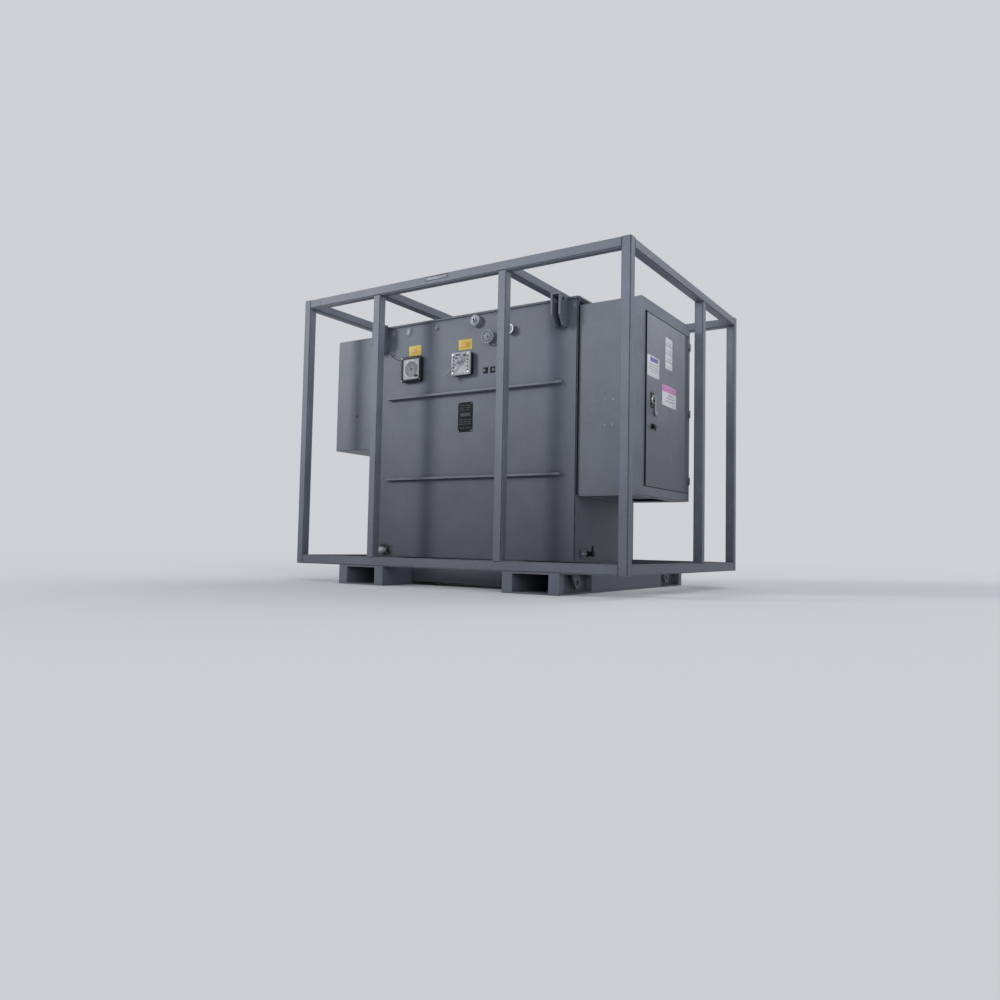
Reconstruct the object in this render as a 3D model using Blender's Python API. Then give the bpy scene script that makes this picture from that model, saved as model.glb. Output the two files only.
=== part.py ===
"""Skid-mounted power transformer in a protective frame of square steel tube.

Metres, +Z up. The origin is on the ground under the middle of the frame.
The long front faces -Y and the cabinet with the door is at the +X end.
Run with: blender --background --python part.py
"""

import math

import bmesh
import bpy
from mathutils import Matrix, Vector

# Clearances
GAP = 0.0003
OVERRUN = 0.02

# Frame of square tube
TUBE = 0.076
TUBE_CORNER_RADIUS = 0.008
TUBE_CORNER_STEPS = 2
CABINET_END_CLEARANCE = 0.009
FRONT_CLEARANCE = 0.294
BACK_CLEARANCE = 0.125
TOP_CLEARANCE = 0.1674
RIGHT_POST_INSET = 0.467
LEFT_POST_INSET = 0.267
END_POST_CLEARANCE = 0.083

# Tank
TANK_LENGTH = 2.000
TANK_DEPTH = 1.000
TANK_HEIGHT = 2.034
TANK_CORNER_RADIUS = 0.012
LID_THICKNESS = 0.016
LID_OVERHANG = 0.010

# Stiffening ribs across the front of the tank
RIB_END_INSET = 0.125
RIB_THICKNESS = 0.016
RIB_DEPTH = 0.045
RIB_LOWER_HEIGHT_SHARE = 0.328
RIB_UPPER_HEIGHT_SHARE = 0.679
RIB_END_RADIUS = 0.007

# Lifting lugs at the tank's four top corners: two cheeks under a top plate
LUG_LEFT_INSET = 0.046
LUG_RIGHT_INSET = 0.132
LUG_WIDTH = 0.087
LUG_CHEEK_THICKNESS = 0.016
LUG_REACH = 0.125
LUG_RISE = 0.012
LUG_HEIGHT = 0.248
LUG_STRAIGHT = 0.172
LUG_TOE = 0.068
LUG_PLATE_THICKNESS = 0.012
LUG_HOLE_RADIUS = 0.022
LUG_HOLE_DROP = 0.045
LUG_HOLE_SETBACK = 0.050
LUG_HOLE_STEPS = 20

# Sheet steel cabinet on the right end, with the door
CABINET_LENGTH = 0.515
CABINET_DEPTH = 1.016
CABINET_HEIGHT = 1.475
CABINET_TOP_DROP = 0.066
CABINET_SETBACK = 0.024
CABINET_SHEET = 0.005
CABINET_BEND_RADIUS = 0.004
DOOR_FRAME_THICKNESS = 0.028
DOOR_THICKNESS = 0.024
DOOR_MARGIN_FREE = 0.088
DOOR_MARGIN_HINGE = 0.024
DOOR_MARGIN_TOP = 0.098
DOOR_MARGIN_BOTTOM = 0.071
DOOR_GAP = 0.007
CABLE_ENTRY_LENGTH = 0.300
CABLE_ENTRY_DEPTH = 0.360
CABLE_ENTRY_BACK_MARGIN = 0.120

# Door hinges
HINGE_RADIUS = 0.008
HINGE_LENGTH = 0.060
HINGE_STAND_OFF = 0.009
HINGE_TOP_MARGIN = 0.085
HINGE_BOTTOM_MARGIN = 0.097
HINGE_LEAF_WIDTH = 0.020
HINGE_LEAF_THICKNESS = 0.003
HINGE_SPLIT_GAP = 0.0006
HINGE_STEPS = 16

# Door handle and the bolt below it
HANDLE_HEIGHT = 0.727
HANDLE_INSET = 0.128
HANDLE_PLATE_WIDTH = 0.060
HANDLE_PLATE_HEIGHT = 0.110
HANDLE_PLATE_THICKNESS = 0.006
HANDLE_BOSS_RADIUS = 0.016
HANDLE_BOSS_LENGTH = 0.026
HANDLE_LENGTH = 0.110
HANDLE_WIDTH = 0.020
HANDLE_THICKNESS = 0.012
HANDLE_CLEARANCE = 0.0005
DOOR_BOLT_RADIUS = 0.017
DOOR_BOLT_LENGTH = 0.022
DOOR_BOLT_HEIGHT = 0.525

# Closed cabinet on the left end
LEFT_CABINET_DEPTH = 1.040
LEFT_CABINET_HEIGHT = 1.025

# Gauge and tap switch on the tank front. A place is a share of the half length and of the height
GAUGE_PLACE_SHARE = (-0.610, 0.804)
GAUGE_SIDE = 0.220
GAUGE_DEPTH = 0.046
SWITCH_PLACE_SHARE = (-0.069, 0.799)
SWITCH_SIDE = 0.194
SWITCH_DEPTH = 0.055
BOX_CORNER_RADIUS = 0.012
BOX_RIM = 0.014
BOX_RECESS = 0.006

# Round fittings on the tank front, placed the same way
FLANGE_THICKNESS = 0.014
FITTING_STEPS = 28
FITTINGS = {
    "pressure_valve": {
        "place_share": (0.055, 0.9715), "finish": "tank_paint",
        "flange_radius": 0.049, "neck_radius": 0.030, "neck_length": 0.016,
        "cap_radius": 0.044, "cap_length": 0.014, "tip_radius": 0.018, "tip_length": 0.016,
    },
    "fill_valve": {
        "place_share": (0.189, 0.8958), "finish": "tank_paint",
        "flange_radius": 0.056, "neck_radius": 0.034, "neck_length": 0.018,
        "cap_radius": 0.050, "cap_length": 0.014, "tip_radius": 0.018, "tip_length": 0.018,
    },
    "vacuum_gauge": {
        "place_share": (0.398, 0.9140), "finish": "zinc_steel",
        "flange_radius": 0.026, "neck_radius": 0.018, "neck_length": 0.008,
        "cap_radius": 0.046, "cap_length": 0.020, "tip_radius": 0.040, "tip_length": 0.004,
    },
    "drain_valve": {
        "place_share": (-0.887, 0.027), "finish": "zinc_steel",
        "flange_radius": 0.045, "neck_radius": 0.022, "neck_length": 0.034,
        "cap_radius": 0.028, "cap_length": 0.020, "tip_radius": 0.018, "tip_length": 0.006,
    },
}

# Cooling radiators on the back of the tank
RADIATOR_WIDTH = 0.520
RADIATOR_SPACING = 0.640
RADIATOR_HEIGHT = 1.350
RADIATOR_FOOT = 0.300
RADIATOR_PANELS = 14
PANEL_PITCH = 0.055
PANEL_THICKNESS = 0.014
PANEL_EDGE_RADIUS = 0.005
HEADER_RADIUS = 0.045
HEADER_INSET = 0.080
HEADER_STUB = 0.140
HEADER_STEPS = 16

# Fork pockets that the frame stands on
POCKET_INSET = 0.170
POCKET_OPENING = 0.310
POCKET_BEAM = 0.088
POCKET_HEIGHT = 0.160
POCKET_PLATE = 0.011
RECESS_LENGTH = 0.450
RECESS_DEPTH = 0.066
RECESS_END_WALL = 0.070
TIE_DOWN_RADIUS = 0.045
TIE_DOWN_HOLE_RADIUS = 0.021
TIE_DOWN_THICKNESS = 0.018
TIE_DOWN_LENGTH = 0.075
TIE_DOWN_TILT = math.radians(28)
TIE_DOWN_STEPS = 20

# Beams between the pockets
SKID_BEAM_WIDTH = 0.080
SKID_BEAM_HEIGHT = 0.130

# Places that follow from the sizes above
frame_length = TANK_LENGTH + 2 * (CABINET_LENGTH + CABINET_END_CLEARANCE + TUBE)
cooler_reach = HEADER_STUB + (RADIATOR_PANELS - 1) * PANEL_PITCH + PANEL_THICKNESS
frame_depth = FRONT_CLEARANCE + TANK_DEPTH + cooler_reach + BACK_CLEARANCE + 2 * TUBE
frame_end = frame_length / 2
frame_front = -frame_depth / 2
frame_back = frame_depth / 2
frame_foot = POCKET_HEIGHT
tank_foot = frame_foot + TUBE + GAP
tank_top = tank_foot + TANK_HEIGHT
lid_top = tank_top + GAP + LID_THICKNESS
frame_top = lid_top + TOP_CLEARANCE + TUBE
tank_end = TANK_LENGTH / 2
pocket_centre = tank_end - POCKET_INSET
tank_front = frame_front + TUBE + FRONT_CLEARANCE
tank_back = tank_front + TANK_DEPTH
post_right = tank_end - RIGHT_POST_INSET
post_left = -tank_end + LEFT_POST_INSET
cabinet_front = tank_front + CABINET_SETBACK
cabinet_back = cabinet_front + CABINET_DEPTH
cabinet_top = lid_top - CABINET_TOP_DROP
cabinet_foot = cabinet_top - CABINET_HEIGHT
cabinet_start = tank_end + GAP
cabinet_end = tank_end + CABINET_LENGTH
end_post = cabinet_back + END_POST_CLEARANCE + TUBE / 2

MATERIALS = {
    "tank_paint": ((0.120, 0.136, 0.172), 0.0, 0.48),
    "frame_paint": ((0.140, 0.155, 0.188), 0.0, 0.46),
    "cabinet_paint": ((0.136, 0.156, 0.188), 0.0, 0.46),
    "black_housing": ((0.012, 0.013, 0.015), 0.0, 0.40),
    "pale_casting": ((0.560, 0.590, 0.620), 0.2, 0.45),
    "zinc_steel": ((0.420, 0.440, 0.450), 0.85, 0.42),
}


def clear_scene():
    """Remove whatever the file opened with."""
    for item in list(bpy.data.objects):
        bpy.data.objects.remove(item, do_unlink=True)


def paint(name):
    """One Principled material for each finish, made the first time that it is asked for."""
    found = bpy.data.materials.get(name)
    if found:
        return found
    colour, metallic, roughness = MATERIALS[name]
    made = bpy.data.materials.new(name)
    made.use_nodes = True
    shader = made.node_tree.nodes["Principled BSDF"]
    shader.inputs["Base Color"].default_value = (*colour, 1.0)
    shader.inputs["Metallic"].default_value = metallic
    shader.inputs["Roughness"].default_value = roughness
    made.diffuse_color = (*colour, 1.0)
    return made


def place(name, bm, finish, origin, parent=None):
    """Turn a bmesh in world metres into a named object with its origin at the given point."""
    bmesh.ops.recalc_face_normals(bm, faces=bm.faces)
    bmesh.ops.translate(bm, verts=bm.verts, vec=-Vector(origin))
    mesh = bpy.data.meshes.new(name)
    bm.to_mesh(mesh)
    bm.free()
    mesh.materials.append(paint(finish))
    item = bpy.data.objects.new(name, mesh)
    bpy.context.scene.collection.objects.link(item)
    item.location = Vector(origin)
    if parent:
        item.parent = parent
        item.location = Vector(origin) - parent.location
    return item


def add_box(bm, low, high):
    """Add a closed box between two corners and return its vertices."""
    low = Vector(low)
    size = Vector(high) - low
    matrix = Matrix.Translation(low + size / 2) @ Matrix.Diagonal((*size, 1.0))
    return bmesh.ops.create_cube(bm, size=1.0, matrix=matrix)["verts"]


def round_edges(bm, axis, radius, steps):
    """Round the edges of a box that run along one axis."""
    chosen = []
    for edge in bm.edges:
        run = edge.verts[1].co - edge.verts[0].co
        across = [abs(run[i]) for i in range(3) if i != axis]
        if max(across) < GAP:
            chosen.append(edge)
    bmesh.ops.bevel(bm, geom=chosen, offset=radius, segments=steps, affect="EDGES")


def middle(low, high):
    """The point halfway between two corners."""
    return (Vector(low) + Vector(high)) / 2


def box(name, low, high, finish, round_axis=None, radius=0.0, steps=1):
    """A box, with the edges along one axis rounded where asked."""
    bm = bmesh.new()
    add_box(bm, low, high)
    if round_axis is not None:
        round_edges(bm, round_axis, radius, steps)
    return place(name, bm, finish, middle(low, high))


def tube(name, axis, low, high, finish="frame_paint"):
    """A square tube between two corners, rounded along its length."""
    return box(name, low, high, finish, axis, TUBE_CORNER_RADIUS, TUBE_CORNER_STEPS)


def add_prism(bm, outline, axis, start, stop):
    """Extrude a closed outline, given in the two other axes, from start to stop along an axis."""
    others = [i for i in range(3) if i != axis]
    corners = []
    for across, along in outline:
        point = [0.0, 0.0, 0.0]
        point[others[0]] = across
        point[others[1]] = along
        point[axis] = start
        corners.append(bm.verts.new(point))
    face = bm.faces.new(corners)
    grown = bmesh.ops.extrude_face_region(bm, geom=[face])["geom"]
    shift = Vector((0.0, 0.0, 0.0))
    shift[axis] = stop - start
    moved = [part for part in grown if isinstance(part, bmesh.types.BMVert)]
    bmesh.ops.translate(bm, verts=moved, vec=shift)


def add_turned(bm, profile, axis, origin, steps):
    """Turn a profile of (radius, along) pairs about an axis through the origin point."""
    others = [i for i in range(3) if i != axis]
    rings = []
    for radius, along in profile:
        ring = []
        for step in range(steps):
            angle = 2 * math.pi * step / steps
            point = list(origin)
            point[others[0]] += radius * math.cos(angle)
            point[others[1]] += radius * math.sin(angle)
            point[axis] += along
            ring.append(bm.verts.new(point))
        rings.append(ring)
    for first, second in zip(rings, rings[1:]):
        for step in range(steps):
            after = (step + 1) % steps
            bm.faces.new((first[step], first[after], second[after], second[step]))
    bm.faces.new(rings[0])
    bm.faces.new(rings[-1])


def smooth(item, angle=math.radians(35)):
    """Shade round pieces smooth and keep their real edges sharp."""
    item.data.shade_smooth()
    item.data.set_sharp_from_angle(angle=angle)


def shape(name, bm):
    """A hidden helper object that a Boolean uses."""
    bmesh.ops.recalc_face_normals(bm, faces=bm.faces)
    mesh = bpy.data.meshes.new(name)
    bm.to_mesh(mesh)
    bm.free()
    item = bpy.data.objects.new(name, mesh)
    bpy.context.scene.collection.objects.link(item)
    item.hide_render = True
    item.display_type = "WIRE"
    return item


def combine(item, helper, operation):
    """Join a helper to an object, or cut it out, with an exact Boolean."""
    step = item.modifiers.new(helper.name, "BOOLEAN")
    step.operation = operation
    step.solver = "EXACT"
    step.object = helper


def add_to(item, name, bm):
    """Join a bmesh in world metres to an object."""
    combine(item, shape(name, bm), "UNION")


def cut_from(item, name, bm):
    """Cut a bmesh in world metres out of an object."""
    combine(item, shape(name, bm), "DIFFERENCE")


def frame_posts():
    """Four corner posts over the full height, and the posts between the rails."""
    corners = {
        "front_left": (-frame_end, frame_front),
        "front_right": (frame_end - TUBE, frame_front),
        "back_left": (-frame_end, frame_back - TUBE),
        "back_right": (frame_end - TUBE, frame_back - TUBE),
    }
    for side, (x, y) in corners.items():
        tube("corner_post_" + side, 2, (x, y, frame_foot), (x + TUBE, y + TUBE, frame_top))
    low = frame_foot + TUBE + GAP
    high = frame_top - TUBE - GAP
    between = {
        "front_mid_post_right": (post_right - TUBE / 2, frame_front),
        "front_mid_post_left": (post_left - TUBE / 2, frame_front),
        "back_mid_post_right": (post_right - TUBE / 2, frame_back - TUBE),
        "back_mid_post_left": (post_left - TUBE / 2, frame_back - TUBE),
        "end_mid_post_right": (frame_end - TUBE, end_post - TUBE / 2),
        "end_mid_post_left": (-frame_end, end_post - TUBE / 2),
    }
    for name, (x, y) in between.items():
        tube(name, 2, (x, y, low), (x + TUBE, y + TUBE, high))


def frame_rails():
    """Top and bottom rails between the corner posts, and the cross tubes between the rails."""
    side = frame_end - TUBE - GAP
    inner = frame_depth / 2 - TUBE - GAP
    for level, z in (("bottom", frame_foot), ("top", frame_top - TUBE)):
        top = z + TUBE
        tube(level + "_rail_front", 0, (-side, frame_front, z), (side, frame_front + TUBE, top))
        tube(level + "_rail_back", 0, (-side, frame_back - TUBE, z), (side, frame_back, top))
        tube(level + "_rail_left", 1, (-frame_end, -inner, z), (-frame_end + TUBE, inner, top))
        tube(level + "_rail_right", 1, (frame_end - TUBE, -inner, z), (frame_end, inner, top))
        for name, x in (("left", post_left), ("right", post_right)):
            tube(level + "_cross_tube_" + name, 1, (x - TUBE / 2, -inner, z), (x + TUBE / 2, inner, top))


def tie_down_outline(roof, y, lean):
    """Outline of one tie-down eye: a slanting tongue from the roof, round at its lower end."""
    outline = []
    half_steps = TIE_DOWN_STEPS // 2
    for step in range(half_steps + 1):
        angle = math.pi * (1 + step / half_steps)
        across = TIE_DOWN_RADIUS * math.cos(angle)
        outline.append((across, TIE_DOWN_RADIUS * math.sin(angle) - TIE_DOWN_LENGTH))
    for across in (TIE_DOWN_RADIUS, -TIE_DOWN_RADIUS):
        rise = (POCKET_PLATE / 2 - across * math.sin(lean)) / math.cos(lean)
        outline.append((across, rise))
    turn = Matrix.Rotation(lean, 2)
    turned = [turn @ Vector(point) for point in outline]
    return [(y + point.x, roof + point.y) for point in turned]


def fork_pocket(name, x, outward):
    """A fork pocket over the full depth, with a tie-down recess near each end of its outer side."""
    half = POCKET_OPENING / 2 + POCKET_BEAM
    foot = 0.0
    top = frame_foot - GAP
    item = box(name, (x - half, frame_front, foot), (x + half, frame_back, top), "frame_paint")
    bm = bmesh.new()
    add_box(bm, (x - POCKET_OPENING / 2, frame_front - OVERRUN, foot + POCKET_PLATE),
            (x + POCKET_OPENING / 2, frame_back + OVERRUN, top - POCKET_PLATE))
    cut_from(item, name + "_opening", bm)
    outer = x + outward * (half + OVERRUN)
    inner = x + outward * (half - RECESS_DEPTH)
    eye_plane = x + outward * (half - RECESS_DEPTH / 2)
    roof = top - POCKET_PLATE
    for end, sign in (("front", -1), ("back", 1)):
        wall = sign * (frame_depth / 2 - RECESS_END_WALL)
        far = wall - sign * RECESS_LENGTH
        bm = bmesh.new()
        add_box(bm, (min(outer, inner), min(wall, far), foot + POCKET_PLATE),
                (max(outer, inner), max(wall, far), roof))
        cut_from(item, name + "_recess_" + end, bm)
        bm = bmesh.new()
        middle_y = (wall + far) / 2
        lean = -sign * TIE_DOWN_TILT
        outline = tie_down_outline(roof, middle_y, lean)
        add_prism(bm, outline, 0, eye_plane - TIE_DOWN_THICKNESS / 2, eye_plane + TIE_DOWN_THICKNESS / 2)
        add_to(item, name + "_eye_" + end, bm)
        bm = bmesh.new()
        centre = (eye_plane - TIE_DOWN_THICKNESS, middle_y + TIE_DOWN_LENGTH * math.sin(lean),
                  roof - TIE_DOWN_LENGTH * math.cos(lean))
        profile = [(TIE_DOWN_HOLE_RADIUS, 0.0), (TIE_DOWN_HOLE_RADIUS, 2 * TIE_DOWN_THICKNESS)]
        add_turned(bm, profile, 0, centre, TIE_DOWN_STEPS)
        cut_from(item, name + "_eye_hole_" + end, bm)
    return item


def skid():
    """Two fork pockets and the two beams that tie them together under the tank."""
    fork_pocket("fork_pocket_right", pocket_centre, 1)
    fork_pocket("fork_pocket_left", -pocket_centre, -1)
    reach = pocket_centre - POCKET_OPENING / 2 - POCKET_BEAM - GAP
    top = frame_foot - GAP
    for name, y in (("front", tank_front), ("back", tank_back - SKID_BEAM_WIDTH)):
        box("skid_beam_" + name, (-reach, y, top - SKID_BEAM_HEIGHT), (reach, y + SKID_BEAM_WIDTH, top),
            "frame_paint", 0, TUBE_CORNER_RADIUS, TUBE_CORNER_STEPS)


def tank():
    """The oil-filled tank, its welded lid and the two ribs across its front."""
    box("tank_shell", (-tank_end, tank_front, tank_foot), (tank_end, tank_back, tank_top),
        "tank_paint", 2, TANK_CORNER_RADIUS, TUBE_CORNER_STEPS)
    box("tank_lid", (-tank_end - LID_OVERHANG, tank_front - LID_OVERHANG, tank_top + GAP),
        (tank_end + LID_OVERHANG, tank_back + LID_OVERHANG, lid_top),
        "tank_paint", 2, TANK_CORNER_RADIUS, TUBE_CORNER_STEPS)
    reach = tank_end - RIB_END_INSET
    for name, share in (("lower", RIB_LOWER_HEIGHT_SHARE), ("upper", RIB_UPPER_HEIGHT_SHARE)):
        z = tank_foot + share * TANK_HEIGHT
        box("tank_rib_" + name, (-reach, tank_front - GAP - RIB_DEPTH, z),
            (reach, tank_front - GAP, z + RIB_THICKNESS),
            "tank_paint", 2, RIB_END_RADIUS, TUBE_CORNER_STEPS)


def lifting_lug(name, side, face, outward):
    """A lifting lug: two cheeks with a hole each, and a plate that joins them along the top."""
    wall = face + outward * GAP
    high = lid_top + LUG_RISE
    low = high - LUG_HEIGHT
    under_lid = tank_top - GAP
    reach = wall + outward * LUG_REACH
    clear_of_lid = wall + outward * (LID_OVERHANG + GAP)
    outline = [
        (wall, low),
        (wall + outward * LUG_TOE, low),
        (reach, high - LUG_STRAIGHT),
        (reach, high),
        (clear_of_lid, high),
        (clear_of_lid, under_lid),
        (wall, under_lid),
    ]
    inset = LUG_RIGHT_INSET if side > 0 else LUG_LEFT_INSET
    x = side * (tank_end - inset)
    left = x - LUG_WIDTH / 2
    right = x + LUG_WIDTH / 2
    bm = bmesh.new()
    add_prism(bm, outline, 0, left, left + LUG_CHEEK_THICKNESS)
    add_prism(bm, outline, 0, right - LUG_CHEEK_THICKNESS, right)
    item = place(name, bm, "tank_paint", (x, wall, tank_top))
    bm = bmesh.new()
    add_box(bm, (left + LUG_CHEEK_THICKNESS / 2, min(clear_of_lid, reach), high - LUG_PLATE_THICKNESS),
            (right - LUG_CHEEK_THICKNESS / 2, max(clear_of_lid, reach), high))
    add_to(item, name + "_plate", bm)
    bm = bmesh.new()
    centre = (left - LUG_WIDTH / 2, reach - outward * LUG_HOLE_SETBACK, high - LUG_HOLE_DROP)
    add_turned(bm, [(LUG_HOLE_RADIUS, 0.0), (LUG_HOLE_RADIUS, 2 * LUG_WIDTH)], 0, centre, LUG_HOLE_STEPS)
    cut_from(item, name + "_holes", bm)
    return item


def lifting_lugs():
    """One lug near each top corner of the tank."""
    lifting_lug("lifting_lug_front_right", 1, tank_front, -1)
    lifting_lug("lifting_lug_front_left", -1, tank_front, -1)
    lifting_lug("lifting_lug_back_right", 1, tank_back, 1)
    lifting_lug("lifting_lug_back_left", -1, tank_back, 1)


def right_cabinet():
    """The hollow cabinet: a wrapped sheet, a floor with the cable entry and the door frame."""
    wrap_end = cabinet_end - DOOR_FRAME_THICKNESS - GAP
    low = (cabinet_start, cabinet_front, cabinet_foot)
    high = (wrap_end, cabinet_back, cabinet_top)
    wrap = box("cabinet_wrap", low, high, "cabinet_paint", 0, CABINET_BEND_RADIUS, TUBE_CORNER_STEPS)
    bm = bmesh.new()
    add_box(bm, (low[0] - OVERRUN, cabinet_front + CABINET_SHEET, cabinet_foot - OVERRUN),
            (high[0] + OVERRUN, cabinet_back - CABINET_SHEET, cabinet_top - CABINET_SHEET))
    cut_from(wrap, "cabinet_wrap_inside", bm)

    inside = CABINET_SHEET + GAP
    floor = box("cabinet_floor", (cabinet_start, cabinet_front + inside, cabinet_foot),
                (wrap_end, cabinet_back - inside, cabinet_foot + CABINET_SHEET), "cabinet_paint")
    entry_x = (cabinet_start + wrap_end) / 2
    entry_back = cabinet_back - CABLE_ENTRY_BACK_MARGIN
    bm = bmesh.new()
    add_box(bm, (entry_x - CABLE_ENTRY_LENGTH / 2, entry_back - CABLE_ENTRY_DEPTH, cabinet_foot - OVERRUN),
            (entry_x + CABLE_ENTRY_LENGTH / 2, entry_back, cabinet_foot + OVERRUN))
    cut_from(floor, "cable_entry", bm)


def door_edges():
    """The door's free edge, hinge edge, lower edge and upper edge."""
    free = cabinet_front + DOOR_MARGIN_FREE
    hinge = cabinet_back - DOOR_MARGIN_HINGE
    lower = cabinet_foot + DOOR_MARGIN_BOTTOM
    upper = cabinet_top - DOOR_MARGIN_TOP
    return free, hinge, lower, upper


def hinge_heights():
    """Where the middle of each hinge is: near the door's two ends and halfway between them."""
    free, hinge, lower, upper = door_edges()
    high = upper - HINGE_TOP_MARGIN
    low = lower + HINGE_BOTTOM_MARGIN
    return {"lower": low, "middle": (low + high) / 2, "upper": high}


def door_frame():
    """The frame that the door closes into, with the fixed halves of its hinges."""
    free, hinge, lower, upper = door_edges()
    start = cabinet_end - DOOR_FRAME_THICKNESS
    item = box("cabinet_door_frame", (start, cabinet_front, cabinet_foot),
               (cabinet_end, cabinet_back, cabinet_top), "cabinet_paint")
    bm = bmesh.new()
    add_box(bm, (start - OVERRUN, free - DOOR_GAP, lower - DOOR_GAP),
            (cabinet_end + OVERRUN, hinge + DOOR_GAP, upper + DOOR_GAP))
    cut_from(item, "door_opening", bm)
    axis_x = cabinet_end + HINGE_STAND_OFF
    axis_y = hinge + DOOR_GAP / 2
    for name, z in hinge_heights().items():
        bm = bmesh.new()
        profile = [(HINGE_RADIUS, 0.0), (HINGE_RADIUS, HINGE_LENGTH / 2 - HINGE_SPLIT_GAP / 2)]
        add_turned(bm, profile, 2, (axis_x, axis_y, z - HINGE_LENGTH / 2), HINGE_STEPS)
        add_to(item, "frame_knuckle_" + name, bm)
        bm = bmesh.new()
        add_box(bm, (cabinet_end - HINGE_LEAF_THICKNESS, axis_y + DOOR_GAP / 2 + GAP, z - HINGE_LENGTH / 2),
                (axis_x, axis_y + DOOR_GAP / 2 + HINGE_LEAF_THICKNESS + GAP, z - HINGE_SPLIT_GAP / 2))
        add_to(item, "frame_leaf_" + name, bm)
    return item


def door():
    """The flush door, which turns about the knuckles at its far edge."""
    free, hinge, lower, upper = door_edges()
    axis = Vector((cabinet_end + HINGE_STAND_OFF, hinge + DOOR_GAP / 2, (lower + upper) / 2))
    bm = bmesh.new()
    add_box(bm, (cabinet_end - DOOR_THICKNESS, free, lower), (cabinet_end, hinge, upper))
    item = place("cabinet_door", bm, "cabinet_paint", axis)
    for name, height in hinge_heights().items():
        z = height + HINGE_SPLIT_GAP / 2
        top = height + HINGE_LENGTH / 2
        bm = bmesh.new()
        add_turned(bm, [(HINGE_RADIUS, 0.0), (HINGE_RADIUS, top - z)], 2, (axis.x, axis.y, z), HINGE_STEPS)
        add_to(item, "door_knuckle_" + name, bm)
        bm = bmesh.new()
        add_box(bm, (cabinet_end - HINGE_LEAF_THICKNESS, hinge - HINGE_LEAF_WIDTH, z),
                (cabinet_end + HINGE_LEAF_THICKNESS, hinge, top))
        add_to(item, "door_leaf_" + name, bm)
        bm = bmesh.new()
        add_box(bm, (cabinet_end, hinge - HINGE_LEAF_THICKNESS, z), (axis.x, hinge, top))
        add_to(item, "door_web_" + name, bm)

    handle_y = free + HANDLE_INSET
    handle_z = cabinet_foot + HANDLE_HEIGHT
    bm = bmesh.new()
    add_box(bm, (cabinet_end - HANDLE_PLATE_THICKNESS, handle_y - HANDLE_PLATE_WIDTH / 2,
                 handle_z - HANDLE_PLATE_HEIGHT / 2),
            (cabinet_end + HANDLE_PLATE_THICKNESS, handle_y + HANDLE_PLATE_WIDTH / 2,
             handle_z + HANDLE_PLATE_HEIGHT / 2))
    add_to(item, "handle_plate", bm)
    bm = bmesh.new()
    add_turned(bm, [(DOOR_BOLT_RADIUS, -DOOR_THICKNESS / 2), (DOOR_BOLT_RADIUS, DOOR_BOLT_LENGTH)], 0,
               (cabinet_end, handle_y, cabinet_foot + DOOR_BOLT_HEIGHT), TIE_DOWN_STEPS)
    add_to(item, "door_bolt", bm)

    start = cabinet_end + HANDLE_PLATE_THICKNESS + HANDLE_CLEARANCE
    handle_axis = Vector((start, handle_y, handle_z))
    bm = bmesh.new()
    add_turned(bm, [(HANDLE_BOSS_RADIUS, 0.0), (HANDLE_BOSS_RADIUS, HANDLE_BOSS_LENGTH)], 0,
               handle_axis, TIE_DOWN_STEPS)
    lever = place("door_handle", bm, "zinc_steel", handle_axis, item)
    bm = bmesh.new()
    end = start + HANDLE_BOSS_LENGTH
    add_box(bm, (end - HANDLE_THICKNESS, handle_y - HANDLE_WIDTH / 2, handle_z - HANDLE_LENGTH),
            (end, handle_y + HANDLE_WIDTH / 2, handle_z + HANDLE_WIDTH / 2))
    add_to(lever, "handle_grip", bm)
    return item


def left_cabinet():
    """The closed cabinet on the left end."""
    box("left_cabinet", (-tank_end - CABINET_LENGTH, tank_front, cabinet_top - LEFT_CABINET_HEIGHT),
        (-cabinet_start, tank_front + LEFT_CABINET_DEPTH, cabinet_top),
        "cabinet_paint", 0, CABINET_BEND_RADIUS, TUBE_CORNER_STEPS)


def on_front(share):
    """The point of the tank front at a share of its half length and of its height."""
    across, up = share
    return across * tank_end, tank_foot + up * TANK_HEIGHT


def front_box(name, share, side, depth, finish):
    """A square housing on the tank front with a recessed face."""
    x, z = on_front(share)
    back = tank_front - GAP
    item = box(name, (x - side / 2, back - depth, z - side / 2), (x + side / 2, back, z + side / 2),
               finish, 1, BOX_CORNER_RADIUS, TUBE_CORNER_STEPS)
    bm = bmesh.new()
    face = side / 2 - BOX_RIM
    add_box(bm, (x - face, back - depth - OVERRUN, z - face), (x + face, back - depth + BOX_RECESS, z + face))
    cut_from(item, name + "_face", bm)
    return item


def fitting(name, sizes):
    """A round fitting on the tank front: flange, neck, cap and tip, from the wall outwards."""
    bm = bmesh.new()
    x, z = on_front(sizes["place_share"])
    origin = (x, tank_front - GAP, z)
    profile = [(sizes["flange_radius"], 0.0)]
    out = FLANGE_THICKNESS
    profile += [(sizes["flange_radius"], -out), (sizes["neck_radius"], -out)]
    out += sizes["neck_length"]
    profile += [(sizes["neck_radius"], -out), (sizes["cap_radius"], -out)]
    out += sizes["cap_length"]
    profile.append((sizes["cap_radius"], -out))
    profile.append((sizes["tip_radius"], -out - sizes["tip_length"]))
    add_turned(bm, profile, 1, origin, FITTING_STEPS)
    item = place(name, bm, sizes["finish"], origin)
    smooth(item)
    return item


def front_fittings():
    """The gauge, the tap switch, the valves and the drain on the tank front."""
    front_box("temperature_gauge", GAUGE_PLACE_SHARE, GAUGE_SIDE, GAUGE_DEPTH, "black_housing")
    front_box("tap_switch", SWITCH_PLACE_SHARE, SWITCH_SIDE, SWITCH_DEPTH, "pale_casting")
    for name, sizes in FITTINGS.items():
        fitting(name, sizes)


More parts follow.
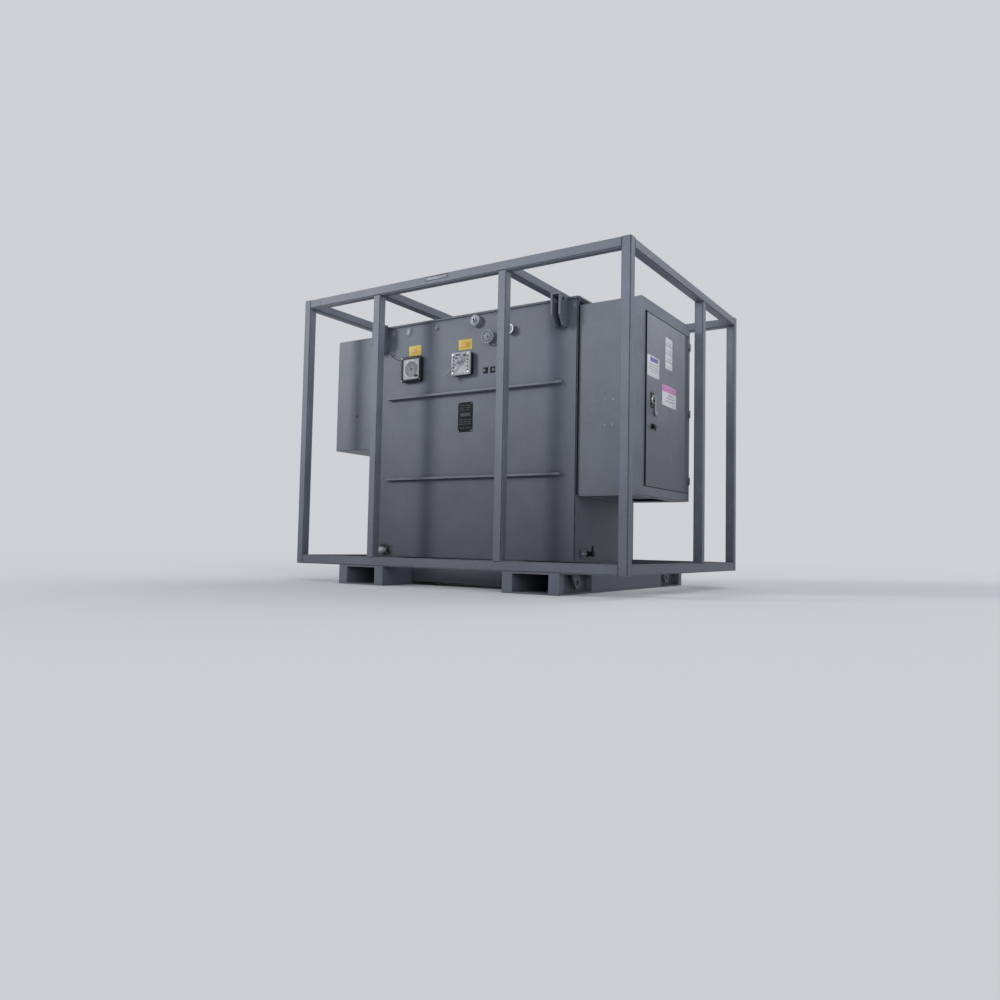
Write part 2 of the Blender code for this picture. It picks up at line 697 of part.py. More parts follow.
def radiator(name, x):
    """One radiator: flat panels on an upper and a lower header that come out of the tank's back."""
    start = tank_back + GAP
    foot = tank_foot + RADIATOR_FOOT
    top = foot + RADIATOR_HEIGHT
    first = tank_back + HEADER_STUB
    last = first + (RADIATOR_PANELS - 1) * PANEL_PITCH + PANEL_THICKNESS
    bm = bmesh.new()
    profile = [(HEADER_RADIUS, 0.0), (HEADER_RADIUS, last - PANEL_THICKNESS / 2 - start)]
    add_turned(bm, profile, 1, (x, start, foot + HEADER_INSET), HEADER_STEPS)
    item = place(name, bm, "tank_paint", (x, start, foot + HEADER_INSET))
    bm = bmesh.new()
    add_turned(bm, profile, 1, (x, start, top - HEADER_INSET), HEADER_STEPS)
    add_to(item, name + "_upper_header", bm)
    bm = bmesh.new()
    for number in range(RADIATOR_PANELS):
        y = first + number * PANEL_PITCH
        add_box(bm, (x - RADIATOR_WIDTH / 2, y, foot), (x + RADIATOR_WIDTH / 2, y + PANEL_THICKNESS, top))
    add_to(item, name + "_panels", bm)
    return item


def radiators():
    """Two radiators side by side on the back of the tank."""
    radiator("radiator_left", -RADIATOR_SPACING / 2)
    radiator("radiator_right", RADIATOR_SPACING / 2)


def main():
    clear_scene()
    frame_posts()
    frame_rails()
    skid()
    tank()
    lifting_lugs()
    right_cabinet()
    door_frame()
    door()
    left_cabinet()
    front_fittings()
    radiators()


main()
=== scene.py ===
# %% [markdown]
# # A power transformer in a protective frame
#
# This lesson dresses a finished CAD model of a skid-mounted power transformer. The CAD
# model gives the true sizes and the moving bodies. What is added here is what a camera
# sees: paint, weld beads, bolts, gauges, plates and the pressed panels of the radiators.
#
# Every length is in metres. The tank front faces -Y and the cabinet door is at the +X end.

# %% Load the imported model
import math

import bmesh
import bpy
from mathutils import Matrix, Vector


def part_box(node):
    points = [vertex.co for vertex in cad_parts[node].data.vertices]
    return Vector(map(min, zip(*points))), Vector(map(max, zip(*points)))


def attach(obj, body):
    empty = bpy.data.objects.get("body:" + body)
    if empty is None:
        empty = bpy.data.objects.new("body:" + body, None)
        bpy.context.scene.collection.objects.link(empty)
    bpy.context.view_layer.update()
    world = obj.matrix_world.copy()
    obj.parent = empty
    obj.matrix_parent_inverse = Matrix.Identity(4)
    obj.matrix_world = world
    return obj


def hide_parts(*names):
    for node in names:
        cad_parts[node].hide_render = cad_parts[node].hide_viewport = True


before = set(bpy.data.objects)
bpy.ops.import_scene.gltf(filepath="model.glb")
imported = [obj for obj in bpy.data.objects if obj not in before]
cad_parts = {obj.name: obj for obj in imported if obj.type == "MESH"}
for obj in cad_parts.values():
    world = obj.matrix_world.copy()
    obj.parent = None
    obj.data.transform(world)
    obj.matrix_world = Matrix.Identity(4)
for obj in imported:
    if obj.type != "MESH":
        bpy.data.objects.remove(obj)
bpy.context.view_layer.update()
scene = bpy.context.scene
FIXED = "transformer"
DOOR = "cabinet_door"
HANDLE = "door_handle"
print("nodes:", len(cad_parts))

# %% [markdown]
# ## The places that everything else is measured from
#
# A piece could be placed with numbers typed by hand, but it would float as soon as the
# model changed. So the corners of a few CAD nodes are read first, and each piece below
# takes its place from the node that carries it.

# %% Read the corners of the main nodes
tank_low, tank_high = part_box("tank_shell")
lid_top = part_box("tank_lid")[1].z
wrap_low, wrap_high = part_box("cabinet_wrap")
door_frame_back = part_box("cabinet_door_frame")[0].x
door_low, door_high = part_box("cabinet_door")
left_low, left_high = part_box("left_cabinet")
TANK_FRONT = tank_low.y
TANK_BACK = tank_high.y
DOOR_FRAME_THICKNESS = 0.028
DOOR_FACE = door_frame_back + DOOR_FRAME_THICKNESS
print("tank front at y =", round(TANK_FRONT, 3), "and lid top at z =", round(lid_top, 3))

# %% [markdown]
# ## Camera
#
# The photograph was taken from low down in front of the right-hand corner, with a short
# lens. The camera's place and turn were worked out from the frame's corners, so the two
# pictures can be laid over each other.

# %% Place the camera
CAMERA_PLACE = (3.8836, -6.3347, 0.3595)
CAMERA_TURN_LEFT = 33.046
CAMERA_LOOK_UP = 3.131
CAMERA_ROLL = 1.135
CAMERA_FOCAL_PIXELS = 812.5
PICTURE_PIXELS = 1000
SENSOR_WIDTH = 36.0

camera_data = bpy.data.cameras.new("camera")
camera_data.sensor_width = SENSOR_WIDTH
camera_data.lens = CAMERA_FOCAL_PIXELS / PICTURE_PIXELS * SENSOR_WIDTH
camera = bpy.data.objects.new("camera", camera_data)
scene.collection.objects.link(camera)
turn = Matrix.Rotation(math.radians(CAMERA_TURN_LEFT), 4, "Z")
tilt = Matrix.Rotation(math.radians(90 + CAMERA_LOOK_UP), 4, "X")
roll = Matrix.Rotation(math.radians(CAMERA_ROLL), 4, "Z")
camera.matrix_world = Matrix.Translation(CAMERA_PLACE) @ turn @ tilt @ roll
scene.camera = camera
print("lens:", round(camera_data.lens, 2), "mm")

# %% [markdown]
# ## Four helpers for node trees
#
# Floor, paint and weld beads are all node trees, and clicking them together by hand can't
# be repeated. One helper adds a node and fills its inputs with values or links, a second
# does sums, a third brings a value from one range to another, and a fourth opens a group
# with named inputs and outputs.

# %% Add nodes by name
NUMBER = "NodeSocketFloat"
WHOLE = "NodeSocketInt"
SHAPE = "NodeSocketGeometry"
FINISH = "NodeSocketMaterial"


def add_node(tree, kind, options=None, feeds=None):
    """Add a node, set its options, and give its inputs a value or a link."""
    node = tree.nodes.new(kind)
    for key, value in (options or {}).items():
        setattr(node, key, value)
    for key, value in (feeds or {}).items():
        if isinstance(value, bpy.types.NodeSocket):
            tree.links.new(value, node.inputs[key])
        else:
            node.inputs[key].default_value = value
    return node


def calc(tree, operation, first, second=0.0):
    """The output of one sum, such as MULTIPLY or ADD."""
    node = add_node(tree, "ShaderNodeMath", {"operation": operation}, {0: first, 1: second})
    return node.outputs[0]


def remap(tree, value, start, stop, low=0.0, high=1.0):
    """Bring a value from one range to another along a smooth step."""
    feeds = {"Value": value, "From Min": start, "From Max": stop, "To Min": low, "To Max": high}
    return add_node(tree, "ShaderNodeMapRange", {"interpolation_type": "SMOOTHSTEP"}, feeds).outputs[0]


def new_group(name, kind, inputs, outputs):
    """A node group with named sockets, and its first and last node."""
    group = bpy.data.node_groups.new(name, kind)
    for label, (socket_type, value) in inputs.items():
        socket = group.interface.new_socket(name=label, in_out="INPUT", socket_type=socket_type)
        if value is not None:
            socket.default_value = value
    for label, socket_type in outputs.items():
        group.interface.new_socket(name=label, in_out="OUTPUT", socket_type=socket_type)
    return group, group.nodes.new("NodeGroupInput"), group.nodes.new("NodeGroupOutput")


print("helpers: add_node, calc, remap, new_group")

# %% [markdown]
# ## Floor and light
#
# A studio floor has no horizon. The floor here is a wide disc that fades into the
# backdrop's own colour with distance, so no line shows behind the object. Large area
# lamps would leave a bright pool on it, so the lamps are suns with a wide disc, which
# light it evenly. The key sun comes from the left front, as in the photograph, where the
# posts' shadows fall to the right across the tank.

# %% Make the floor
BACKDROP_COLOUR = (0.62, 0.635, 0.665)
FLOOR_COLOUR = (0.715, 0.720, 0.734)
FLOOR_RADIUS = 60.0
FLOOR_STEPS = 96
FADE_START = 4.0
FADE_END = 20.0

mesh = bpy.data.meshes.new("studio_floor")
bm = bmesh.new()
bmesh.ops.create_circle(bm, cap_ends=True, segments=FLOOR_STEPS, radius=FLOOR_RADIUS)
bm.to_mesh(mesh)
bm.free()
floor = bpy.data.objects.new("studio_floor", mesh)
scene.collection.objects.link(floor)

floor_material = bpy.data.materials.new("studio_floor")
floor_material.use_nodes = True
tree = floor_material.node_tree
tree.nodes.clear()
place = add_node(tree, "ShaderNodeTexCoord")
away = add_node(tree, "ShaderNodeVectorMath", {"operation": "LENGTH"}, {0: place.outputs["Object"]})
fade = remap(tree, away.outputs["Value"], FADE_START, FADE_END)
matt = add_node(tree, "ShaderNodeBsdfDiffuse", None, {"Color": (*FLOOR_COLOUR, 1)})
glow = add_node(tree, "ShaderNodeEmission", None, {"Color": (*BACKDROP_COLOUR, 1)})
mix = add_node(tree, "ShaderNodeMixShader", None, {0: fade, 1: matt.outputs[0], 2: glow.outputs[0]})
add_node(tree, "ShaderNodeOutputMaterial", None, {"Surface": mix.outputs[0]})
mesh.materials.append(floor_material)
print("floor radius:", FLOOR_RADIUS)

# %% Light the studio
WORLD_COLOUR = (0.88, 0.92, 1.0)
WORLD_LEVEL = 0.47
LAMPS = {
    "key": {"towards": (0.90, 1.00, -0.45), "strength": 1.12, "spread": 14.0},
    "fill": {"towards": (-0.80, 0.70, -0.45), "strength": 1.25, "spread": 50.0},
    "back": {"towards": (-0.25, -1.00, -0.90), "strength": 0.75, "spread": 40.0},
}

world = bpy.data.worlds.new("studio")
world.use_nodes = True
scene.world = world
tree = world.node_tree
tree.nodes.clear()
ray = add_node(tree, "ShaderNodeLightPath")
seen = calc(tree, "MAXIMUM", ray.outputs["Is Camera Ray"], ray.outputs["Is Glossy Ray"])
seen = calc(tree, "MAXIMUM", seen, ray.outputs["Is Transmission Ray"])
soft = add_node(tree, "ShaderNodeBackground", None, {"Color": (*WORLD_COLOUR, 1), "Strength": WORLD_LEVEL})
back = add_node(tree, "ShaderNodeBackground", None, {"Color": (*BACKDROP_COLOUR, 1)})
mix = add_node(tree, "ShaderNodeMixShader", None, {0: seen, 1: soft.outputs[0], 2: back.outputs[0]})
add_node(tree, "ShaderNodeOutputWorld", None, {"Surface": mix.outputs[0]})

for name, sizes in LAMPS.items():
    lamp_data = bpy.data.lights.new(name, "SUN")
    lamp_data.energy = sizes["strength"]
    lamp_data.angle = math.radians(sizes["spread"])
    lamp = bpy.data.objects.new(name, lamp_data)
    scene.collection.objects.link(lamp)
    lamp.rotation_euler = Vector(sizes["towards"]).to_track_quat("-Z", "Y").to_euler()
scene.view_settings.view_transform = "Standard"
print("lamps:", sorted(LAMPS))

# %% [markdown]
# ## Shared effects of a painted machine
#
# Paint on welded steel is never one colour. It is mottled, rain leaves streaks below
# every ledge and the edges are rubbed. It is also darker towards the ground, partly soil
# and partly painted shade, and darker in the corners, which is painted shade. Painting
# each by hand on an image would fix it to one mesh. A node group for each effect works on
# any mesh, and every material below uses it with its own values.

# %% Mottled tone
BROAD_DETAIL = 4.0
FINE_DETAIL = 5.0
FINE_SCALE = 11.0
BROAD_SHARE = 0.7
FINE_SHARE = 0.3
TONE_RANGE = (0.34, 0.66)


def object_place(tree):
    """The point of the surface in the object's own metres."""
    return add_node(tree, "ShaderNodeTexCoord").outputs["Object"]


def noise(tree, scale, detail=3.0, vector=None):
    """A soft noise between 0 and 1."""
    feeds = {"Vector": vector or object_place(tree), "Scale": scale, "Detail": detail}
    return add_node(tree, "ShaderNodeTexNoise", None, feeds).outputs[0]


group, source, sink = new_group("mottle", "ShaderNodeTree", {"Scale": (NUMBER, 3.0)}, {"Tone": NUMBER})
broad = noise(group, source.outputs["Scale"], BROAD_DETAIL)
fine = noise(group, calc(group, "MULTIPLY", source.outputs["Scale"], FINE_SCALE), FINE_DETAIL)
both = calc(group, "ADD", calc(group, "MULTIPLY", broad, BROAD_SHARE),
            calc(group, "MULTIPLY", fine, FINE_SHARE))
group.links.new(remap(group, both, *TONE_RANGE), sink.inputs["Tone"])
print("group:", group.name)

# %% Rubbed edges
BEVEL_SAMPLES = 4
EDGE_RANGE = (0.99, 0.80)
WORN_PATCHES = (0.44, 0.60)
group, source, sink = new_group(
    "edge_wear", "ShaderNodeTree",
    {"Reach": (NUMBER, 0.004), "Scale": (NUMBER, 45.0), "Amount": (NUMBER, 0.5)}, {"Mask": NUMBER})
rounded = add_node(group, "ShaderNodeBevel", {"samples": BEVEL_SAMPLES}, {"Radius": source.outputs["Reach"]})
true_normal = add_node(group, "ShaderNodeNewGeometry").outputs["Normal"]
dot = add_node(group, "ShaderNodeVectorMath", {"operation": "DOT_PRODUCT"},
               {0: rounded.outputs[0], 1: true_normal})
edge = remap(group, dot.outputs["Value"], *EDGE_RANGE)
patchy = remap(group, noise(group, source.outputs["Scale"], FINE_DETAIL), *WORN_PATCHES)
mask = calc(group, "MULTIPLY", calc(group, "MULTIPLY", edge, patchy), source.outputs["Amount"])
group.links.new(mask, sink.inputs["Mask"])
print("group:", group.name)

# %% Soil and painted shade towards the ground, and dust on ledges
SOIL_SHADE_PATCH_SHARE = 0.35
SOIL_SHADE_RANGE = (0.80, -0.25)
FACING_UP = (0.55, 0.95)
DUST_PATCHES = (0.30, 0.62)
group, source, sink = new_group(
    "soil_shade_and_dust", "ShaderNodeTree",
    {"Foot": (NUMBER, 0.1), "Reach": (NUMBER, 1.6), "Scale": (NUMBER, 5.0)},
    {"Soil Shade": NUMBER, "Dust": NUMBER})
split = add_node(group, "ShaderNodeSeparateXYZ", None, {0: object_place(group)})
height = calc(group, "DIVIDE", calc(group, "SUBTRACT", split.outputs["Z"], source.outputs["Foot"]),
              source.outputs["Reach"])
patchy = noise(group, source.outputs["Scale"], BROAD_DETAIL)
low = calc(group, "SUBTRACT", height, calc(group, "MULTIPLY", patchy, SOIL_SHADE_PATCH_SHARE))
group.links.new(remap(group, low, *SOIL_SHADE_RANGE), sink.inputs["Soil Shade"])
split = add_node(group, "ShaderNodeSeparateXYZ", None,
                 {0: add_node(group, "ShaderNodeNewGeometry").outputs["Normal"]})
up = remap(group, split.outputs["Z"], *FACING_UP)
group.links.new(calc(group, "MULTIPLY", up, remap(group, patchy, *DUST_PATCHES)), sink.inputs["Dust"])
print("group:", group.name)

# %% Rain streaks
STREAK_STRETCH = 0.045
STREAK_START = 0.78
STREAK_REACH = 0.30
STREAK_SOFT = 0.12
WET_SCALE = 1.9
WET_DETAIL = 2.0
WET_PATCHES = (0.38, 0.62)
group, source, sink = new_group(
    "rain_streaks", "ShaderNodeTree", {"Scale": (NUMBER, 26.0), "Share": (NUMBER, 0.5)}, {"Mask": NUMBER})
stretched = add_node(group, "ShaderNodeMapping", None,
                     {"Vector": object_place(group), "Scale": (1.0, 1.0, STREAK_STRETCH)}).outputs[0]
lines = noise(group, source.outputs["Scale"], BROAD_DETAIL, stretched)
broad = noise(group, WET_SCALE, WET_DETAIL)
start = calc(group, "SUBTRACT", STREAK_START,
             calc(group, "MULTIPLY", source.outputs["Share"], STREAK_REACH))
streak = remap(group, lines, start, calc(group, "ADD", start, STREAK_SOFT))
group.links.new(calc(group, "MULTIPLY", streak, remap(group, broad, *WET_PATCHES)), sink.inputs["Mask"])
print("group:", group.name)

# %% Painted shade in corners
SHADE_SAMPLES = 6
CLOSED_RANGE = (0.92, 0.35)
SHADE_PATCHES = (0.25, 0.60, 0.35, 1.0)
group, source, sink = new_group(
    "corner_grime", "ShaderNodeTree", {"Reach": (NUMBER, 0.05), "Scale": (NUMBER, 14.0)}, {"Mask": NUMBER})
hollow = add_node(group, "ShaderNodeAmbientOcclusion", {"samples": SHADE_SAMPLES},
                  {"Distance": source.outputs["Reach"]})
closed = remap(group, hollow.outputs["AO"], *CLOSED_RANGE)
patchy = remap(group, noise(group, source.outputs["Scale"], BROAD_DETAIL), *SHADE_PATCHES)
group.links.new(calc(group, "MULTIPLY", closed, patchy), sink.inputs["Mask"])
print("group:", group.name)

# %% Height of a sprayed coat
PEEL_SCALE = 380.0
PEEL_DETAIL = 2.0
WAVE_SCALE = 6.0
WAVE_DETAIL = 1.0
group, source, sink = new_group(
    "sprayed_coat", "ShaderNodeTree", {"Peel": (NUMBER, 0.5), "Wave": (NUMBER, 0.5)}, {"Height": NUMBER})
peel = calc(group, "MULTIPLY", noise(group, PEEL_SCALE, PEEL_DETAIL), source.outputs["Peel"])
wave = calc(group, "MULTIPLY", noise(group, WAVE_SCALE, WAVE_DETAIL), source.outputs["Wave"])
group.links.new(calc(group, "ADD", peel, wave), sink.inputs["Height"])
print("group:", group.name)

# %% [markdown]
# ## Paint
#
# The real object has one blue-grey satin enamel on everything, sprayed on the tank, the
# frame and the cabinets in turn. One function makes the six paints, with the groups
# above mixed over the base colour, so they differ in tone, soil, painted shade and wear
# but belong together. The door's paint and the ribs' paint are lighter copies, which is
# painted light, and the skid's paint is a darker copy, which is painted shade. The
# Principled shader stays here, because only masks come out of a group.

# %% Groups, mixes and new materials
def use_group(tree, name, **values):
    """Place a node group in a material with its own values."""
    node = add_node(tree, "ShaderNodeGroup", {"node_tree": bpy.data.node_groups[name]})
    for label, value in values.items():
        node.inputs[label].default_value = value
    return node


def mix_colour(tree, factor, first, second, way="MIX"):
    """Mix two colours by a factor."""
    options = {"data_type": "RGBA", "blend_type": way}
    return add_node(tree, "ShaderNodeMix", options, {0: factor, 6: first, 7: second}).outputs[2]


def new_material(name, metallic=0.0, roughness=0.5):
    """A material with its tree and its Principled shader."""
    material = bpy.data.materials.new(name)
    material.use_nodes = True
    shader = material.node_tree.nodes["Principled BSDF"]
    shader.inputs["Metallic"].default_value = metallic
    shader.inputs["Roughness"].default_value = roughness
    return material, material.node_tree, shader


print("materials: use_group, mix_colour, new_material")

# %% Lay the effects over a base colour
# Dark colour of the rain streaks and of the darkening towards the foot, which is soil and painted shade.
SOIL_SHADE_COLOUR = (0.033, 0.038, 0.052, 1)
DUST_COLOUR = (0.300, 0.290, 0.270, 1)
# Colour of the darkening in corners and hollows: painted shade.
PAINTED_SHADE_COLOUR = (0.030, 0.028, 0.027, 1)
PRIMER_COLOUR = (0.330, 0.340, 0.355, 1)
DARKER = (0.84, 0.84, 0.85, 1)
LIGHTER = (1.10, 1.10, 1.09, 1)
PAINT_SHINE = 0.34
MOTTLE_SCALE = 2.6
RAIN_STRENGTH = 0.30
DUST_STRENGTH = 0.28
ROUGHER = {"tone": 0.10, "dust": 0.25, "rain": 0.12}
COAT_BUMP = {"Strength": 0.25, "Distance": 0.002}


def make_paint(name, colour, roughness, soil_shade, foot, reach, streaks, wear, wave, corners=0.55):
    """Satin enamel with mottle, soil and painted shade towards the foot, dust, streaks, painted shade in
    corners and rubbed edges.
    """
    material, tree, shader = new_material(name)
    shader.inputs["Specular IOR Level"].default_value = PAINT_SHINE
    tone = use_group(tree, "mottle", Scale=MOTTLE_SCALE).outputs["Tone"]
    shade = mix_colour(tree, tone, DARKER, LIGHTER)
    base = mix_colour(tree, 1.0, (*colour, 1), shade, "MULTIPLY")
    # Darker towards the foot: partly soil, partly painted shade.
    dirt_and_shade = use_group(tree, "soil_shade_and_dust", Foot=foot, Reach=reach)
    base = mix_colour(tree, calc(tree, "MULTIPLY", dirt_and_shade.outputs["Soil Shade"], soil_shade), base, SOIL_SHADE_COLOUR)
    rain = use_group(tree, "rain_streaks", Share=streaks).outputs["Mask"]
    base = mix_colour(tree, calc(tree, "MULTIPLY", rain, RAIN_STRENGTH), base, SOIL_SHADE_COLOUR)
    base = mix_colour(tree, calc(tree, "MULTIPLY", dirt_and_shade.outputs["Dust"], DUST_STRENGTH), base, DUST_COLOUR)
    # Darker in corners and hollows, from ambient occlusion: painted shade.
    grime = use_group(tree, "corner_grime").outputs["Mask"]
    base = mix_colour(tree, calc(tree, "MULTIPLY", grime, corners), base, PAINTED_SHADE_COLOUR)
    rubbed = use_group(tree, "edge_wear", Amount=wear).outputs["Mask"]
    base = mix_colour(tree, rubbed, base, PRIMER_COLOUR)
    tree.links.new(base, shader.inputs["Base Color"])
    rough = calc(tree, "ADD", roughness, calc(tree, "MULTIPLY", tone, ROUGHER["tone"]))
    rough = calc(tree, "ADD", rough, calc(tree, "MULTIPLY", dirt_and_shade.outputs["Dust"], ROUGHER["dust"]))
    rough = calc(tree, "ADD", rough, calc(tree, "MULTIPLY", rain, ROUGHER["rain"]))
    tree.links.new(rough, shader.inputs["Roughness"])
    coat = use_group(tree, "sprayed_coat", Wave=wave).outputs["Height"]
    bump = add_node(tree, "ShaderNodeBump", None, {**COAT_BUMP, "Height": coat})
    tree.links.new(bump.outputs[0], shader.inputs["Normal"])
    return material


print("one coat of paint: make_paint")

# %% Make the paints
tank_paint = make_paint("tank_paint", (0.122, 0.141, 0.178), roughness=0.40, soil_shade=0.85, foot=0.10,
                        reach=2.3, streaks=0.45, wear=0.30, wave=0.9)
frame_paint = make_paint("frame_paint", (0.148, 0.167, 0.208), roughness=0.42, soil_shade=0.60, foot=0.00,
                         reach=2.0, streaks=0.35, wear=0.40, wave=0.3)
cabinet_paint = make_paint("cabinet_paint", (0.152, 0.173, 0.208), roughness=0.38, soil_shade=0.60, foot=0.40,
                           reach=2.1, streaks=0.40, wear=0.28, wave=0.7)
# The skid's paint is a darker copy of the frame's: painted shade on the beams recessed under the tank.
skid_shade_paint = make_paint("skid_shade_paint", (0.068, 0.075, 0.090), roughness=0.52, soil_shade=0.80, foot=-0.05,
                        reach=0.5, streaks=0.60, wear=0.75, wave=0.4)
# The door's paint is lighter than the cabinet's, a painted sheen, and its strong darkening towards the foot
# is painted shade.
door_sheen_paint = make_paint("door_sheen_paint", (0.218, 0.237, 0.276), roughness=0.34, soil_shade=0.80, foot=0.90,
                        reach=1.50, streaks=0.40, wear=0.28, wave=0.7)
# The ribs' paint is a lighter copy of the tank's with little corner shade: painted light on the ribs' faces.
rib_lit_paint = make_paint("rib_lit_paint", (0.170, 0.188, 0.225), roughness=0.44, soil_shade=0.55, foot=0.10,
                       reach=2.3, streaks=0.30, wear=0.45, wave=0.4, corners=0.10)
print("paints:", sorted(material.name for material in bpy.data.materials if "paint" in material.name))

# %% Give each CAD node its paint
SKID_NODES = ("skid_beam",)
TANK_NODES = ("tank_", "lifting_lug", "radiator", "pressure_valve", "fill_valve")
CABINET_NODES = ("cabinet_", "left_cabinet")


def paint_for(name):
    """The paint of a CAD node, from the start of its name."""
    for starts, material in (("cabinet_door_frame", cabinet_paint), ("cabinet_door", door_sheen_paint),
                             ("tank_rib", rib_lit_paint), (SKID_NODES, skid_shade_paint), (TANK_NODES, tank_paint),
                             (CABINET_NODES, cabinet_paint)):
        if name.startswith(starts):
            return material
    return frame_paint


for name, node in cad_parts.items():
    node.data.materials.clear()
    node.data.materials.append(paint_for(name))
print("painted:", len(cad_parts), "nodes")

# %% [markdown]
# ## Metals, plastics and printed plates
#
# The small parts are zinc-plated steel, black enamel, grey castings, rubber, glass
# and printed sheet. Each could have one flat colour, but even a screw head shows brushing
# or a dull bloom. So one function gives each a grain that varies its colour, its
# roughness and its bump, at the scale of that finish.

# %% Give a finish its grain
GRAIN_DETAIL = 4.0
GRAIN_RANGE = (0.30, 0.70)
# Reach and patch scale of the painted shade in the hollows of small parts.
SMALL_SHADE = {"Reach": 0.012, "Scale": 60.0}
SMALL_SHADE_STRENGTH = 0.45
SMALL_WEAR = {"Reach": 0.0015, "Scale": 160.0}
ROUGH_SCALE_SHARE = 0.3
ROUGH_LESS = 0.06
ROUGH_MORE = 0.08
GRAIN_DEPTH = 0.0006


def make_finish(name, colour, metallic, roughness, grain, contrast, stretch=(1.0, 1.0, 1.0), wear=0.0,
                bump_strength=0.15, shine=0.5):
    """A plain finish whose grain varies its colour, its roughness and its bump."""
    material, tree, shader = new_material(name, metallic)
    shader.inputs["Specular IOR Level"].default_value = shine
    vector = add_node(tree, "ShaderNodeMapping", None,
                      {"Vector": object_place(tree), "Scale": stretch}).outputs[0]
    fine = noise(tree, grain, GRAIN_DETAIL, vector)
    dark = tuple(channel * (1 - contrast) for channel in colour)
    light = tuple(min(1.0, channel * (1 + contrast)) for channel in colour)
    base = mix_colour(tree, remap(tree, fine, *GRAIN_RANGE), (*dark, 1), (*light, 1))
    # Darker in corners and hollows, from ambient occlusion: painted shade.
    grime = use_group(tree, "corner_grime", **SMALL_SHADE).outputs["Mask"]
    base = mix_colour(tree, calc(tree, "MULTIPLY", grime, SMALL_SHADE_STRENGTH), base, PAINTED_SHADE_COLOUR)
    if wear:
        rubbed = use_group(tree, "edge_wear", Amount=wear, **SMALL_WEAR).outputs["Mask"]
        base = mix_colour(tree, rubbed, base, PRIMER_COLOUR)
    tree.links.new(base, shader.inputs["Base Color"])
    coarse = noise(tree, grain * ROUGH_SCALE_SHARE)
    rough = remap(tree, coarse, *GRAIN_RANGE, roughness - ROUGH_LESS, roughness + ROUGH_MORE)
    tree.links.new(rough, shader.inputs["Roughness"])
    bump = add_node(tree, "ShaderNodeBump", None,
                    {"Strength": bump_strength, "Distance": GRAIN_DEPTH, "Height": fine})
    tree.links.new(bump.outputs[0], shader.inputs["Normal"])
    return material


print("one plain finish: make_finish")

# %% Make the small finishes
BRUSHED = (1.0, 1.0, 0.06)
# After the name: colour, metallic, roughness, grain and contrast
zinc = make_finish("zinc_plate", (0.46, 0.47, 0.48), 0.90, 0.38, 260.0, 0.18)
brushed_steel = make_finish("brushed_steel", (0.30, 0.31, 0.32), 0.90, 0.36, 420.0, 0.16, BRUSHED)
cast_grey = make_finish("cast_grey", (0.24, 0.26, 0.29), 0.25, 0.50, 60.0, 0.25, wear=0.3)
black_enamel = make_finish("black_enamel", (0.011, 0.012, 0.014), 0.0, 0.42, 300.0, 0.25, wear=0.15,
                           shine=0.25)
pale_casting = make_finish("pale_casting", (0.33, 0.345, 0.37), 0.15, 0.50, 70.0, 0.22, wear=0.3)
rubber = make_finish("black_rubber", (0.009, 0.009, 0.010), 0.0, 0.80, 180.0, 0.3, bump_strength=0.3,
                     shine=0.08)
dial_grey = make_finish("dial_grey", (0.20, 0.21, 0.22), 0.10, 0.50, 90.0, 0.10)
dial_white = make_finish("dial_white", (0.62, 0.65, 0.66), 0.0, 0.48, 70.0, 0.08)
print_black = make_finish("print_black", (0.02, 0.02, 0.022), 0.0, 0.50, 300.0, 0.2)
print_grey = make_finish("print_grey", (0.28, 0.28, 0.30), 0.0, 0.50, 300.0, 0.12)
plate_yellow = make_finish("plate_yellow", (0.54, 0.42, 0.045), 0.0, 0.42, 40.0, 0.10)
label_white = make_finish("label_white", (0.58, 0.58, 0.61), 0.0, 0.36, 30.0, 0.05)
label_violet = make_finish("label_violet", (0.13, 0.09, 0.36), 0.0, 0.36, 60.0, 0.10)
label_pink = make_finish("label_pink", (0.50, 0.20, 0.42), 0.0, 0.36, 60.0, 0.12)
plate_amber = make_finish("plate_amber", (0.52, 0.27, 0.030), 0.0, 0.42, 30.0, 0.20)
plate_print = make_finish("plate_print", (0.060, 0.063, 0.070), 0.0, 0.55, 200.0, 0.3, shine=0.2)
plate_dark = make_finish("plate_dark", (0.008, 0.009, 0.012), 0.0, 0.55, 200.0, 0.25, wear=0.1, shine=0.12)
print("finishes:", len(bpy.data.materials))

# %% Glass of the gauge windows
GLASS_COLOUR = (0.55, 0.60, 0.62, 1)
GLASS_INDEX = 1.46
SMEAR_SCALE = 55.0
SMEAR_ALPHA = (0.40, 0.75, 0.04, 0.10)
SMEAR_ROUGHNESS = (0.45, 0.75, 0.22, 0.40)
glass, tree, shader = new_material("gauge_glass")
shader.inputs["Base Color"].default_value = GLASS_COLOUR
shader.inputs["IOR"].default_value = GLASS_INDEX
smears = noise(tree, SMEAR_SCALE, FINE_DETAIL)
tree.links.new(remap(tree, smears, *SMEAR_ALPHA), shader.inputs["Alpha"])
tree.links.new(remap(tree, smears, *SMEAR_ROUGHNESS), shader.inputs["Roughness"])
print("glass:", glass.name)

# %% [markdown]
# ## Helpers for meshes
#
# Most fittings are plates, housings and turned parts that sit on a wall. Their rings are
# written in the wall's own frame, with x to the right, y up and z out of the wall, and a
# matrix takes them to their place. The same few lines then serve the tank's front, the
# cabinet door and the back of the tank.

# %% Walls, and pieces that ride on a body
MERGE_DISTANCE = 0.00002
SHARP_ANGLE = math.radians(32)
OUT_FRONT = (0, -1, 0)
OUT_BACK = (0, 1, 0)
OUT_RIGHT = (1, 0, 0)
OUT_LEFT = (-1, 0, 0)
OUT_ABOVE = (0, 0, 1)
OUT_BELOW = (0, 0, -1)


